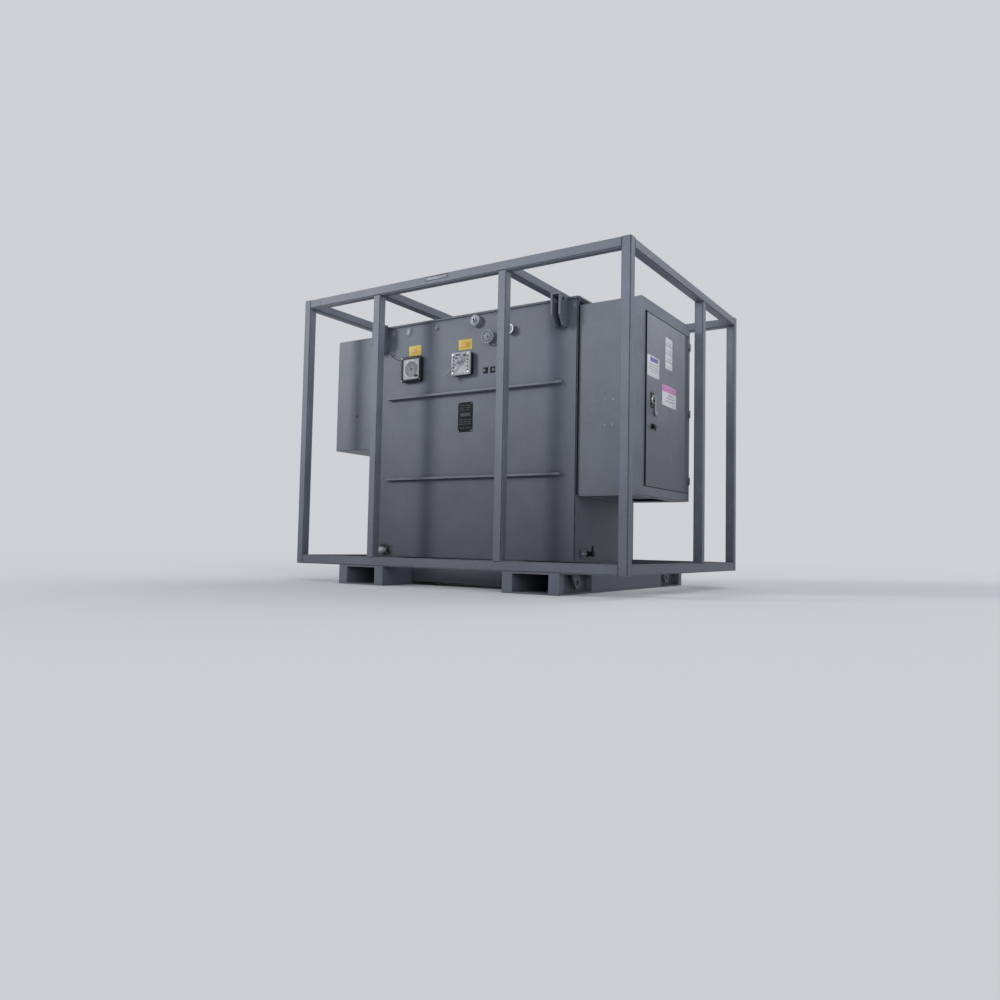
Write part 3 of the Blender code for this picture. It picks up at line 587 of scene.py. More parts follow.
def wall_frame(place, out=OUT_FRONT, up=OUT_ABOVE):
    """A matrix for the wall at a place: x is right, y is up and z points out of it."""
    right = Vector(up).cross(Vector(out))
    return Matrix.Translation(place) @ Matrix((right, up, out)).transposed().to_4x4()


def shifted(matrix, x, y, z):
    """A frame moved along its own axes."""
    return matrix @ Matrix.Translation((x, y, z))


def node_frame(node):
    """The wall frame of a fitting on the tank front, its width and how far it stands out."""
    low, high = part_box(node)
    matrix = wall_frame(((low.x + high.x) / 2, TANK_FRONT, (low.z + high.z) / 2))
    return matrix, high.x - low.x, high.y - low.y


def keep_piece(name, bm, material, body=FIXED):
    """Turn a bmesh in world metres into a piece that rides on a body."""
    bmesh.ops.remove_doubles(bm, verts=bm.verts, dist=MERGE_DISTANCE)
    bmesh.ops.recalc_face_normals(bm, faces=bm.faces)
    mesh = bpy.data.meshes.new(name)
    bm.to_mesh(mesh)
    bm.free()
    mesh.shade_smooth()
    mesh.set_sharp_from_angle(angle=SHARP_ANGLE)
    mesh.materials.append(material)
    piece = bpy.data.objects.new(name, mesh)
    scene.collection.objects.link(piece)
    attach(piece, body)
    return piece


print("gauge stands", round(node_frame("temperature_gauge")[2], 3), "m out of the tank")

# %% Lofts
def place_rings(bm, matrix, rings):
    """Add rings of points to a bmesh, taken from a wall's frame to the world."""
    return [[bm.verts.new(matrix @ Vector(point)) for point in ring] for ring in rings]


def skin(bm, rings):
    """Faces between each ring of points and the next one."""
    count = len(rings[0])
    for first, second in zip(rings, rings[1:]):
        for i in range(count):
            j = (i + 1) % count
            bm.faces.new((first[i], first[j], second[j], second[i]))


def add_loft(bm, matrix, rings):
    """Join rings of as many points each, and close both ends."""
    made = place_rings(bm, matrix, rings)
    skin(bm, made)
    bm.faces.new(made[0])
    bm.faces.new(made[-1])


def add_closed_loft(bm, matrix, rings):
    """Join rings of as many points each, and the last one to the first."""
    made = place_rings(bm, matrix, rings)
    skin(bm, made + made[:1])


print("lofts: add_loft, add_closed_loft")

# %% Turned parts
TINY = 0.0004
HEXAGON = 6


def circle(radius, steps, z):
    """A ring of points round the frame's z axis."""
    angles = (2 * math.pi * i / steps for i in range(steps))
    return [(radius * math.cos(a), radius * math.sin(a), z) for a in angles]


def add_turned(bm, matrix, profile, steps=32):
    """Turn a profile of (radius, height) pairs about the frame's z axis."""
    add_loft(bm, matrix, [circle(max(radius, TINY), steps, z) for radius, z in profile])


print("turned parts: add_turned")

# %% Housings, plates and bands
ROUND_SHARE = 0.3


def rectangle(width, height, radius, z, centre=(0.0, 0.0), steps=5):
    """A ring of points along a rectangle with round corners."""
    radius = max(radius, TINY)
    ring = []
    for quarter, (side, level) in enumerate(((1, 1), (-1, 1), (-1, -1), (1, -1))):
        x = centre[0] + side * (width / 2 - radius)
        y = centre[1] + level * (height / 2 - radius)
        for step in range(steps + 1):
            angle = math.pi / 2 * (quarter + step / steps)
            ring.append((x + radius * math.cos(angle), y + radius * math.sin(angle), z))
    return ring


def rounded_edge(soft, top):
    """The (inset, height) pairs of an outer edge that is softened by a given size."""
    return [(0.0, top - soft), (soft * ROUND_SHARE, top - soft * ROUND_SHARE), (soft, top)]


def add_housing(bm, matrix, width, height, radius, profile, centre=(0.0, 0.0)):
    """Loft rectangles along a profile of (inset, height) pairs."""
    rings = [rectangle(width - 2 * inset, height - 2 * inset, radius - inset, z, centre)
             for inset, z in profile]
    add_loft(bm, matrix, rings)


def add_plate(bm, matrix, width, height, thickness, radius=0.002, centre=(0.0, 0.0), start=0.0):
    """A plate with a softened front edge."""
    soft = min(thickness, radius, width / 3, height / 3) / 2
    profile = [(0.0, start), *rounded_edge(soft, start + thickness)]
    add_housing(bm, matrix, width, height, radius, profile, centre)


def add_band(bm, matrix, width, height, outside, inside, start, stop, radius=0.004):
    """A rectangular ring between two outlines, given as insets from the width and height."""
    corners = ((outside, start), (outside, stop), (inside, stop), (inside, start))
    rings = [rectangle(width - 2 * inset, height - 2 * inset, radius, z) for inset, z in corners]
    add_closed_loft(bm, matrix, rings)


print("from rectangles: add_housing, add_plate, add_band")

# %% Rings and pipes
def add_ring(bm, matrix, radius, thickness, z, steps=40, sides=10):
    """A closed ring of round section about the frame's z axis."""
    rings = []
    for step in range(steps):
        angle = 2 * math.pi * step / steps
        outward = Vector((math.cos(angle), math.sin(angle), 0))
        centre = Vector((radius * math.cos(angle), radius * math.sin(angle), z))
        around = (2 * math.pi * side / sides for side in range(sides))
        rings.append([centre + (outward * math.cos(a) + Vector(OUT_ABOVE) * math.sin(a)) * thickness
                      for a in around])
    add_closed_loft(bm, matrix, rings)


def add_pipe(bm, points, radius, sides=10):
    """Sweep a round section along a line of points and close its ends."""
    points = [Vector(point) for point in points]
    side = (points[1] - points[0]).orthogonal().normalized()
    rings = []
    for i, point in enumerate(points):
        ahead = points[min(i + 1, len(points) - 1)] - points[max(i - 1, 0)]
        ahead.normalize()
        side = (side - ahead * side.dot(ahead)).normalized()
        other = ahead.cross(side)
        angles = (2 * math.pi * k / sides for k in range(sides))
        rings.append([point + (side * math.cos(a) + other * math.sin(a)) * radius for a in angles])
    add_loft(bm, Matrix.Identity(4), rings)


print("swept: add_ring, add_pipe")

# %% Places for fasteners
def four_corners(matrix, across, along, level, out=OUT_FRONT):
    """A place and a direction for a fastener in each corner of a plate."""
    return [(matrix @ Vector((side * across, row * along, level)), out)
            for side in (-1, 1) for row in (-1, 1)]


def on_circle(matrix, radius, level, count, out=OUT_FRONT):
    """A place and a direction for each fastener of a ring."""
    angles = (2 * math.pi * (i + 0.5) / count for i in range(count))
    return [(matrix @ Vector((radius * math.cos(a), radius * math.sin(a), level)), out) for a in angles]


print("fasteners: four_corners, on_circle")

# %% [markdown]
# ## Radiators
#
# Oil rises in the tank, flows through thin pressed panels on the back and sinks as it
# cools. A real panel is two sheets pressed with vertical flutes and welded round the rim.
# One panel is modelled as a closed pillow whose thickness follows the flutes. A Geometry
# Nodes tree then sets copies of it in a row, because all the panels of a bank are alike
# and only their pitch counts.

# %% Shape of the pressed sheet
PANEL_HALF = 0.007
SEAM_HALF = 0.0012
SEAM_WIDTH = 0.014
FLUTES = 7
FLUTE_POWER = 1.1
VALLEY_SHARE = 0.12
PANEL_CORNER = 0.045
HEADER_DROP = 0.080
HEADER_ZONE = 0.075


def panel_half_thickness(x, z, width, height):
    """How far the pressed sheet stands from the panel's middle plane."""
    inside = min(x + width / 2, width / 2 - x, z, height - z)
    rim = min(1.0, max(0.0, (inside - SEAM_WIDTH / 2) / SEAM_WIDTH))
    flute = abs(math.sin(math.pi * FLUTES * (x + width / 2) / width)) ** FLUTE_POWER
    from_header = min(abs(z - HEADER_DROP), abs(height - HEADER_DROP - z))
    channel = max(0.0, 1.0 - from_header / HEADER_ZONE)
    form = VALLEY_SHARE + (1 - VALLEY_SHARE) * max(flute, channel)
    return SEAM_HALF + (PANEL_HALF - SEAM_HALF) * rim * form


def rounded_reach(z, width, height):
    """Half the panel's width at a height, with its corners cut round."""
    from_end = min(z, height - z)
    if from_end >= PANEL_CORNER:
        return width / 2
    drop = PANEL_CORNER - from_end
    return width / 2 - PANEL_CORNER + math.sqrt(max(0.0, PANEL_CORNER ** 2 - drop ** 2))


print("a panel is", round(2 * PANEL_HALF, 3), "m thick with", FLUTES, "flutes")

# %% Model one pressed panel
STEPS_PER_FLUTE = 6
END_ROWS = (0.0, 0.004, 0.012, 0.022, 0.035, 0.055, 0.080, 0.105, 0.130, 0.160)


def rim_of(sheet):
    """The points round the edge of a sheet, in order."""
    right = [row[-1] for row in sheet[1:-1]]
    left = [row[0] for row in sheet[-2:0:-1]]
    return sheet[0] + right + sheet[-1][::-1] + left


def panel_mesh(bm, low, width, height):
    """A closed pillow of two pressed sheets, standing in the plane of X and Z."""
    columns = FLUTES * STEPS_PER_FLUTE
    rows = [*END_ROWS, height / 2, *(height - z for z in reversed(END_ROWS))]
    sheets = []
    for sign in (-1, 1):
        sheet = []
        for z in rows:
            reach = max(rounded_reach(z, width, height), width / 2 - PANEL_CORNER)
            line = []
            for i in range(columns + 1):
                share = i / columns * 2 - 1
                x = share * reach
                y = sign * panel_half_thickness(share * width / 2, z, width, height)
                line.append(bm.verts.new((low.x + width / 2 + x, low.y + PANEL_HALF + y, low.z + z)))
            sheet.append(line)
        sheets.append(sheet)
    for sheet in sheets:
        for below, above in zip(sheet, sheet[1:]):
            for i in range(columns):
                bm.faces.new((below[i], below[i + 1], above[i + 1], above[i]))
    skin(bm, [rim_of(sheet) for sheet in sheets])


print("columns of a panel:", FLUTES * STEPS_PER_FLUTE)

# %% Run a tree of Geometry Nodes on a mesh
def grow(name, bm, node_tree, values, body=FIXED):
    """Run a node tree on a bmesh and keep the result as a plain mesh piece."""
    mesh = bpy.data.meshes.new(name)
    bm.to_mesh(mesh)
    bm.free()
    mesh.shade_smooth()
    piece = bpy.data.objects.new(name, mesh)
    scene.collection.objects.link(piece)
    modifier = piece.modifiers.new(name, "NODES")
    modifier.node_group = node_tree
    for socket in node_tree.interface.items_tree:
        if socket.in_out == "INPUT" and socket.name in values:
            modifier[socket.identifier] = values[socket.name]
    bpy.context.view_layer.update()
    evaluated = piece.evaluated_get(bpy.context.evaluated_depsgraph_get())
    plain = bpy.data.meshes.new_from_object(evaluated)
    piece.modifiers.remove(modifier)
    piece.data = plain
    plain.name = name
    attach(piece, body)
    return piece


def finish_tree(tree, copies, material, sink):
    """End a tree in real copies that carry their material."""
    solid = add_node(tree, "GeometryNodeRealizeInstances", None, {0: copies.outputs[0]})
    done = add_node(tree, "GeometryNodeSetMaterial", None,
                    {"Geometry": solid.outputs[0], "Material": material})
    tree.links.new(done.outputs[0], sink.inputs["Geometry"])


print("grow turns a tree's result into a plain mesh")

# %% Set the panels in a row with Geometry Nodes
PANEL_COUNT = 14
PANEL_PITCH = 0.055
PANELS_START = 0.140
row_tree, source, sink = new_group(
    "row_of_copies", "GeometryNodeTree",
    {"Geometry": (SHAPE, None), "Count": (WHOLE, 2), "Pitch": (NUMBER, 0.1), "Material": (FINISH, None)},
    {"Geometry": SHAPE})
get = source.outputs
step = add_node(row_tree, "ShaderNodeCombineXYZ", None, {"Y": get["Pitch"]})
line = add_node(row_tree, "GeometryNodeMeshLine", None, {"Count": get["Count"], "Offset": step.outputs[0]})
copies = add_node(row_tree, "GeometryNodeInstanceOnPoints", None,
                  {"Points": line.outputs[0], "Instance": get["Geometry"]})
finish_tree(row_tree, copies, get["Material"], sink)

for side in ("left", "right"):
    low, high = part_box("radiator_" + side)
    bm = bmesh.new()
    panel_mesh(bm, Vector((low.x, TANK_BACK + PANELS_START, low.z)), high.x - low.x, high.z - low.z)
    bmesh.ops.recalc_face_normals(bm, faces=bm.faces)
    values = {"Count": PANEL_COUNT, "Pitch": PANEL_PITCH, "Material": tank_paint}
    panels = grow("radiator_panels_" + side, bm, row_tree, values)
    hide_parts("radiator_" + side)
    print(panels.name, "faces:", len(panels.data.polygons))

# %% Headers, flanges and tie bars
HEADER_RADIUS = 0.045
HEADER_EDGE = 0.006
FLANGE_RADIUS = 0.078
FLANGE_THICKNESS = 0.014
FLANGE_GAP = 0.060
FLANGE_BOLTS = 8
FINE_STEPS = 48
PLUG_RADIUS = 0.014
PLUG_SHOULDER = 0.010
PLUG_HEIGHT = 0.013
PLUG_TAPER_SHARE = 0.8
TIE_BAR_SHARES = (0.36, 0.68)
TIE_BAR_SIZE = (0.030, 0.005, 0.003)
flange_seam = FLANGE_GAP + FLANGE_THICKNESS
flange_end = flange_seam + FLANGE_THICKNESS
flange_points = []
for side in ("left", "right"):
    low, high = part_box("radiator_" + side)
    reach = high.y - TANK_BACK
    bm = bmesh.new()
    for z in (low.z + HEADER_DROP, high.z - HEADER_DROP):
        matrix = wall_frame(((low.x + high.x) / 2, TANK_BACK, z), OUT_BACK)
        add_turned(bm, matrix, [(HEADER_RADIUS, 0.0), (HEADER_RADIUS, FLANGE_GAP)])
        for back, front in ((FLANGE_GAP, flange_seam - TINY), (flange_seam + TINY, flange_end)):
            add_turned(bm, matrix, [(FLANGE_RADIUS, back), (FLANGE_RADIUS, front)], FINE_STEPS)
        add_turned(bm, matrix, [(HEADER_RADIUS, flange_end), (HEADER_RADIUS, reach - HEADER_EDGE),
                                (HEADER_RADIUS - HEADER_EDGE, reach), (0.0, reach)])
        add_turned(bm, matrix, [(PLUG_RADIUS, reach - TINY), (PLUG_RADIUS, reach + PLUG_SHOULDER),
                                (PLUG_RADIUS * PLUG_TAPER_SHARE, reach + PLUG_HEIGHT)], HEXAGON)
        bolt_circle = (FLANGE_RADIUS + HEADER_RADIUS) / 2
        flange_points += on_circle(matrix, bolt_circle, flange_end, FLANGE_BOLTS, OUT_BACK)
    for share in TIE_BAR_SHARES:
        z = low.z + share * (high.z - low.z)
        for x, out in ((low.x, OUT_LEFT), (high.x, OUT_RIGHT)):
            start = TANK_BACK + PANELS_START
            add_plate(bm, wall_frame((x, (start + high.y) / 2, z), out), high.y - start, *TIE_BAR_SIZE)
    headers = keep_piece("radiator_headers_" + side, bm, tank_paint)
    print(headers.name, "faces:", len(headers.data.polygons))

# %% [markdown]
# ## Bolts and screws
#
# Dozens of hexagon heads and small round screws hold covers and flanges. Copying an
# object for each would fill the file with names. A Geometry Nodes tree sets one low head
# on every point of a mesh and turns it to the wall, which the point carries as an
# attribute.

# %% Build the fastener tree
HEAD_TAPER_SHARE = 0.90
WASHER_TAPER_SHARE = 0.94
WASHER_STEPS = 16
bolt_tree, source, sink = new_group(
    "fasteners", "GeometryNodeTree",
    {"Geometry": (SHAPE, None), "Radius": (NUMBER, 0.01), "Height": (NUMBER, 0.006), "Sides": (WHOLE, 6),
     "Washer Radius": (NUMBER, 0.012), "Washer Height": (NUMBER, 0.002), "Seed": (WHOLE, 3),
     "Material": (FINISH, None)},
    {"Geometry": SHAPE})
get = source.outputs


def low_cone(tree, steps, radius, height, taper):
    """A short cone with a flat top, for a head or a washer."""
    top = calc(tree, "MULTIPLY", radius, taper)
    feeds = {"Vertices": steps, "Radius Bottom": radius, "Radius Top": top, "Depth": height}
    return add_node(tree, "GeometryNodeMeshCone", None, feeds).outputs[0]


head = low_cone(bolt_tree, get["Sides"], get["Radius"], get["Height"], HEAD_TAPER_SHARE)
lifted = add_node(bolt_tree, "ShaderNodeCombineXYZ", None, {"Z": get["Washer Height"]})
head = add_node(bolt_tree, "GeometryNodeTransform", None,
                {"Geometry": head, "Translation": lifted.outputs[0]})
washer = low_cone(bolt_tree, WASHER_STEPS, get["Washer Radius"], get["Washer Height"], WASHER_TAPER_SHARE)
whole = add_node(bolt_tree, "GeometryNodeJoinGeometry")
bolt_tree.links.new(head.outputs[0], whole.inputs[0])
bolt_tree.links.new(washer, whole.inputs[0])
facing = add_node(bolt_tree, "GeometryNodeInputNamedAttribute", {"data_type": "FLOAT_VECTOR"},
                  {"Name": "facing"})
aligned = add_node(bolt_tree, "FunctionNodeAlignRotationToVector", {"axis": "Z"},
                   {"Vector": facing.outputs[0]})
spin = add_node(bolt_tree, "FunctionNodeRandomValue", {"data_type": "FLOAT"},
                {2: 0.0, 3: math.tau, "Seed": get["Seed"]})
spin_turn = add_node(bolt_tree, "FunctionNodeAxisAngleToRotation", None,
                     {"Axis": (0.0, 0.0, 1.0), "Angle": spin.outputs[1]})
turned = add_node(bolt_tree, "FunctionNodeRotateRotation", {"rotation_space": "LOCAL"},
                  {0: aligned.outputs[0], 1: spin_turn.outputs[0]})
copies = add_node(bolt_tree, "GeometryNodeInstanceOnPoints", None,
                  {"Points": get["Geometry"], "Instance": whole.outputs[0], "Rotation": turned.outputs[0]})
finish_tree(bolt_tree, copies, get["Material"], sink)
print("nodes in the fastener tree:", len(bolt_tree.nodes))

# %% Bolt the radiator flanges
WASHER_HEIGHT_SHARE = 0.3
FLANGE_BOLT = (0.009, 0.008)
ROUND_HEAD = {"sides": 14, "washer": 1.0}
RIVET_HEAD = {"sides": 12, "washer": 1.0}


def add_fasteners(name, points, radius, height, material, body=FIXED, slot="zinc_steel", sides=HEXAGON,
                  washer=1.25):
    """Set a head on each (place, direction) pair."""
    bm = bmesh.new()
    layer = bm.verts.layers.float_vector.new("facing")
    for place, out in points:
        bm.verts.new(place)[layer] = Vector(out)
    values = {"Radius": radius, "Height": height, "Sides": sides, "Washer Radius": radius * washer,
              "Washer Height": height * WASHER_HEIGHT_SHARE, "Material": material}
    piece = grow(name, bm, bolt_tree, values, body)
    piece.data.set_sharp_from_angle(angle=SHARP_ANGLE)
    return piece


bolts = add_fasteners("radiator_flange_bolts", flange_points, *FLANGE_BOLT, zinc)
print(bolts.name, "faces:", len(bolts.data.polygons))

# %% [markdown]
# ## Temperature gauge
#
# The left instrument on the tank is a thermometer: a black box with a pale face, a round
# dial behind glass, and a thin capillary tube that runs to a well near the top of the
# oil. A box with a picture on it would look flat from the side, so the rim, the recess,
# the dial, its ticks and its needle are real shapes.

# %% Housing, face and dial of the gauge
GAUGE_CORNER = 0.020
GAUGE_EDGE = 0.006
GAUGE_FOOT = ((0.006, 0.0), (0.006, 0.010), (0.0, 0.016))
RIM = 0.021
RIM_SLOPE = (0.003, 0.002)
RECESS = 0.010
FACE_THICKNESS = 0.003
DIAL_RADIUS = 0.068
BEZEL_SIDE = 0.0015
BEZEL_TOP = 0.0025
BEZEL_WIDTH = 0.003
DISC_LIFT = 0.0008
gauge_matrix, gauge_side, gauge_depth = node_frame("temperature_gauge")
face_level = gauge_depth - RECESS
face_side = gauge_side - 2 * RIM
dial_level = face_level + FACE_THICKNESS

bm = bmesh.new()
add_housing(bm, gauge_matrix, gauge_side, gauge_side, GAUGE_CORNER, [
    *GAUGE_FOOT, *rounded_edge(GAUGE_EDGE, gauge_depth), (RIM - RIM_SLOPE[0], gauge_depth),
    (RIM, gauge_depth - RIM_SLOPE[1]), (RIM, face_level)])
housing = keep_piece("gauge_housing", bm, black_enamel)
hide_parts("temperature_gauge")

bm = bmesh.new()
add_plate(bm, gauge_matrix, face_side - TINY, face_side - TINY, FACE_THICKNESS, 0.006, start=face_level)
keep_piece("gauge_face", bm, dial_white)

bm = bmesh.new()
add_turned(bm, gauge_matrix, [
    (DIAL_RADIUS, dial_level), (DIAL_RADIUS, dial_level + BEZEL_SIDE),
    (DIAL_RADIUS - BEZEL_WIDTH, dial_level + BEZEL_TOP),
    (DIAL_RADIUS - 2 * BEZEL_WIDTH, dial_level + DISC_LIFT), (0.0, dial_level + DISC_LIFT)], 64)
keep_piece("gauge_dial", bm, dial_grey)
print("gauge side:", round(gauge_side, 3))

# %% Ticks and needle
TICKS = 31
TICKS_PER_STEP = 5
FIRST_TICK = math.radians(225)
TICK_SWEEP = math.radians(270)
LONG_TICK = (0.011, 0.0018)
SHORT_TICK = (0.006, 0.0010)
TICK_GAP = 0.010
TICK_LIFT = 0.0007
MARK_THICKNESS = 0.0005
NEEDLE_ANGLE = math.radians(128)
NEEDLE_OUTLINE = ((-0.018, -0.0028), (0.052, -0.0006), (0.052, 0.0006), (-0.018, 0.0028))
NEEDLE_LIFT = 0.0028
NEEDLE_THICKNESS = 0.0012
NEEDLE_HUB = ((0.009, 0.0), (0.009, 0.004), (0.006, 0.0055))


def add_mark(bm, matrix, angle, middle, level, length, width, thickness=MARK_THICKNESS, radius=0.0001):
    """A flat mark on a dial that points away from the dial's centre."""
    spot = shifted(matrix @ Matrix.Rotation(angle, 4, "Z"), middle, 0, level)
    add_plate(bm, spot, length, width, thickness, radius)


bm = bmesh.new()
for tick in range(TICKS):
    angle = FIRST_TICK - TICK_SWEEP * tick / (TICKS - 1)
    length, width = SHORT_TICK if tick % TICKS_PER_STEP else LONG_TICK
    middle = DIAL_RADIUS - TICK_GAP - length / 2
    add_mark(bm, gauge_matrix, angle, middle, dial_level + TICK_LIFT, length, width)
keep_piece("gauge_ticks", bm, print_black)

bm = bmesh.new()
matrix = shifted(gauge_matrix @ Matrix.Rotation(NEEDLE_ANGLE, 4, "Z"), 0, 0, dial_level + NEEDLE_LIFT)
add_loft(bm, matrix, [[(x, y, z) for x, y in NEEDLE_OUTLINE] for z in (0.0, NEEDLE_THICKNESS)])
add_turned(bm, shifted(gauge_matrix, 0, 0, dial_level), NEEDLE_HUB, 24)
keep_piece("gauge_needle", bm, print_black)
print("ticks:", TICKS)

# %% Glass, catch and screws of the gauge
GLASS_DROP = 0.0035
GLASS_THICKNESS = 0.0018
CATCH_SHARES = (0.33, -0.35)
CATCH_SIZE = (0.030, 0.018, 0.006, 0.004)
CATCH_DROP = 0.002
CATCH_LEVEL = 0.003
CATCH_KNOB = ((0.005, 0.0), (0.005, 0.004), (0.003, 0.006))
GAUGE_SCREW = (0.0038, 0.0022)
bm = bmesh.new()
glass_side = face_side - 2 * TINY
add_plate(bm, gauge_matrix, glass_side, glass_side, GLASS_THICKNESS, 0.005, start=gauge_depth - GLASS_DROP)
keep_piece("gauge_glass", bm, glass)

bm = bmesh.new()
catch = tuple(face_side * share for share in CATCH_SHARES)
add_plate(bm, gauge_matrix, *CATCH_SIZE, catch, gauge_depth - CATCH_DROP)
add_turned(bm, shifted(gauge_matrix, *catch, gauge_depth + CATCH_LEVEL), CATCH_KNOB, 16)
keep_piece("gauge_catch", bm, black_enamel)
corner = gauge_side / 2 - RIM / 2
gauge_screws = four_corners(gauge_matrix, corner, corner, gauge_depth)
add_fasteners("gauge_screws", gauge_screws, *GAUGE_SCREW, zinc, **ROUND_HEAD)
print("gauge screws:", len(gauge_screws))

# %% [markdown]
# ## Tap switch
#
# Beside the gauge is a pale square casting with a round hub and a long lever, which sets
# the winding's tap. The lever rod stands out and leans down to the left. The plate, its
# row of studs, the hub and the rod are separate closed shapes, so each can have its own
# metal.

# %% Body, front plate and hub of the switch
SWITCH_PLATE_DEPTH = 0.014
SWITCH_PLATE_EDGE = 0.004
SWITCH_RIM = 0.012
SWITCH_FIELD_DROP = 0.0015
SWITCH_FIELD_INSET = 0.014
SWITCH_BODY_INSET = 0.003
HUB_PLACE = (0.006, 0.026)
HUB_PROFILE = ((0.037, 0.0), (0.037, 0.004), (0.034, 0.006), (0.026, 0.006), (0.024, 0.012), (0.016, 0.016),
               (0.014, 0.020), (0.0, 0.021))
switch_matrix, switch_side, switch_depth = node_frame("tap_switch")
plate_back = switch_depth - SWITCH_PLATE_DEPTH
field_level = switch_depth - SWITCH_FIELD_DROP

bm = bmesh.new()
body_side = switch_side - 2 * SWITCH_BODY_INSET
add_housing(bm, switch_matrix, body_side, body_side, 0.012, [(0.0, 0.0), (0.0, plate_back)])
keep_piece("switch_body", bm, black_enamel)

bm = bmesh.new()
add_housing(bm, switch_matrix, switch_side, switch_side, 0.010, [
    (0.0, plate_back), *rounded_edge(SWITCH_PLATE_EDGE, switch_depth), (SWITCH_RIM, switch_depth),
    (SWITCH_FIELD_INSET, field_level)])
front_plate = keep_piece("switch_plate", bm, pale_casting)
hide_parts("tap_switch")

bm = bmesh.new()
add_turned(bm, shifted(switch_matrix, *HUB_PLACE, field_level), HUB_PROFILE, 40)
keep_piece("switch_hub", bm, cast_grey)
print("switch side:", round(switch_side, 3))

# %% Lever of the switch
LEVER_START = (-0.006, 0.015)
LEVER_END = (-0.117, -0.086)
LEVER_LEVEL = switch_depth + 0.018
LEVER_RISE = 0.023
LEVER_MIDDLE_RISE = 0.011
LEVER_RADIUS = 0.0046
LEVER_KNOB = (0.022, 0.0066)
LEVER_SIDES = 14
lever_middle = tuple((a + b) / 2 for a, b in zip(LEVER_START, LEVER_END))
ends = [switch_matrix @ Vector((*LEVER_START, LEVER_LEVEL)),
        switch_matrix @ Vector((*lever_middle, LEVER_LEVEL + LEVER_MIDDLE_RISE)),
        switch_matrix @ Vector((*LEVER_END, LEVER_LEVEL + LEVER_RISE))]
tip = ends[-1] + (ends[-1] - ends[0]).normalized() * LEVER_KNOB[0]
bm = bmesh.new()
add_pipe(bm, ends, LEVER_RADIUS, LEVER_SIDES)
add_pipe(bm, [ends[-1], (ends[-1] + tip) / 2, tip], LEVER_KNOB[1], LEVER_SIDES)
keep_piece("switch_lever", bm, brushed_steel)
print("lever length:", round((tip - ends[0]).length, 3))

# %% Studs, marks and screws of the switch
STUD_ROWS = 5
STUD_ACROSS_SHARE = 0.37
STUD_TOP_SHARE = 0.30
STUD_STEP_SHARE = 0.15
STUD_PROFILE = ((0.0065, 0.0), (0.0065, 0.0025), (0.004, 0.0040))
SWITCH_MARKS = (
    {"centre": (-0.030, 0.074), "size": (0.040, 0.012)},
    {"centre": (0.040, 0.066), "size": (0.030, 0.018)},
    {"centre": (-0.045, 0.048), "size": (0.022, 0.010)},
)
SWITCH_MARK_THICKNESS = 0.0018
SWITCH_SCREW_INSET = 0.020
SWITCH_SCREW = (0.0065, 0.004)
bm = bmesh.new()
for side in (-1, 1):
    for row in range(STUD_ROWS):
        x = side * switch_side * STUD_ACROSS_SHARE
        y = switch_side * (STUD_TOP_SHARE - STUD_STEP_SHARE * row)
        add_turned(bm, shifted(switch_matrix, x, y, field_level), STUD_PROFILE, 12)
for mark in SWITCH_MARKS:
    add_plate(bm, switch_matrix, *mark["size"], SWITCH_MARK_THICKNESS, 0.003, mark["centre"], field_level)
keep_piece("switch_studs", bm, print_black)
corner = switch_side / 2 - SWITCH_SCREW_INSET
switch_screws = four_corners(switch_matrix, corner, corner, field_level)
add_fasteners("switch_screws", switch_screws, *SWITCH_SCREW, zinc)
print("studs:", 2 * STUD_ROWS)

# %% [markdown]
# ## Valves and the vacuum gauge
#
# Round valves stick out of the tank near its top for filling and relief, and one near its
# foot for draining. They are turned parts: a flange, a neck and a cap, and the fill valve
# has a handwheel. A profile of radius and height, turned about the axis, gives each one,
# and the handwheel's rim is a swept ring with spokes. The real ones turn, but they are so
# small in the photograph that they stay fixed here.

# %% Pressure relief valve
VALVE_FLANGE = 0.012
FLANGE_EDGE = 0.002
RELIEF_FLANGE_RADIUS = 0.050
RELIEF_BOLT_CIRCLE = 0.042
RELIEF_PROFILE = ((0.032, 0.012), (0.032, 0.026), (0.042, 0.030), (0.044, 0.040), (0.040, 0.044),
                  (0.020, 0.046), (0.018, 0.056))
RELIEF_TIP_RADIUS = 0.010
RELIEF_RING = (0.044, 0.0045, 0.036)
KNOB_PROFILE = ((0.016, 0.0), (0.016, 0.008), (0.012, 0.012))
VALVE_BOLTS = 6


def add_flange(bm, matrix, radius, thickness=VALVE_FLANGE):
    """A round flange with a softened rim."""
    add_turned(bm, matrix, [(radius, 0.0), (radius, thickness - FLANGE_EDGE),
                            (radius - FLANGE_EDGE, thickness), (0.0, thickness)])


matrix, _, depth = node_frame("pressure_valve")
bm = bmesh.new()
add_flange(bm, matrix, RELIEF_FLANGE_RADIUS)
add_turned(bm, matrix, [*RELIEF_PROFILE, (RELIEF_TIP_RADIUS, depth)])
add_ring(bm, matrix, *RELIEF_RING)
valve = keep_piece("pressure_relief_valve", bm, cast_grey)
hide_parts("pressure_valve")
valve_bolts = on_circle(matrix, RELIEF_BOLT_CIRCLE, VALVE_FLANGE, VALVE_BOLTS)

bm = bmesh.new()
add_turned(bm, shifted(matrix, 0, 0, depth - KNOB_PROFILE[-1][1]), KNOB_PROFILE, HEXAGON)
keep_piece("pressure_valve_knob", bm, zinc)
print("relief valve stands out by", round(depth, 3))

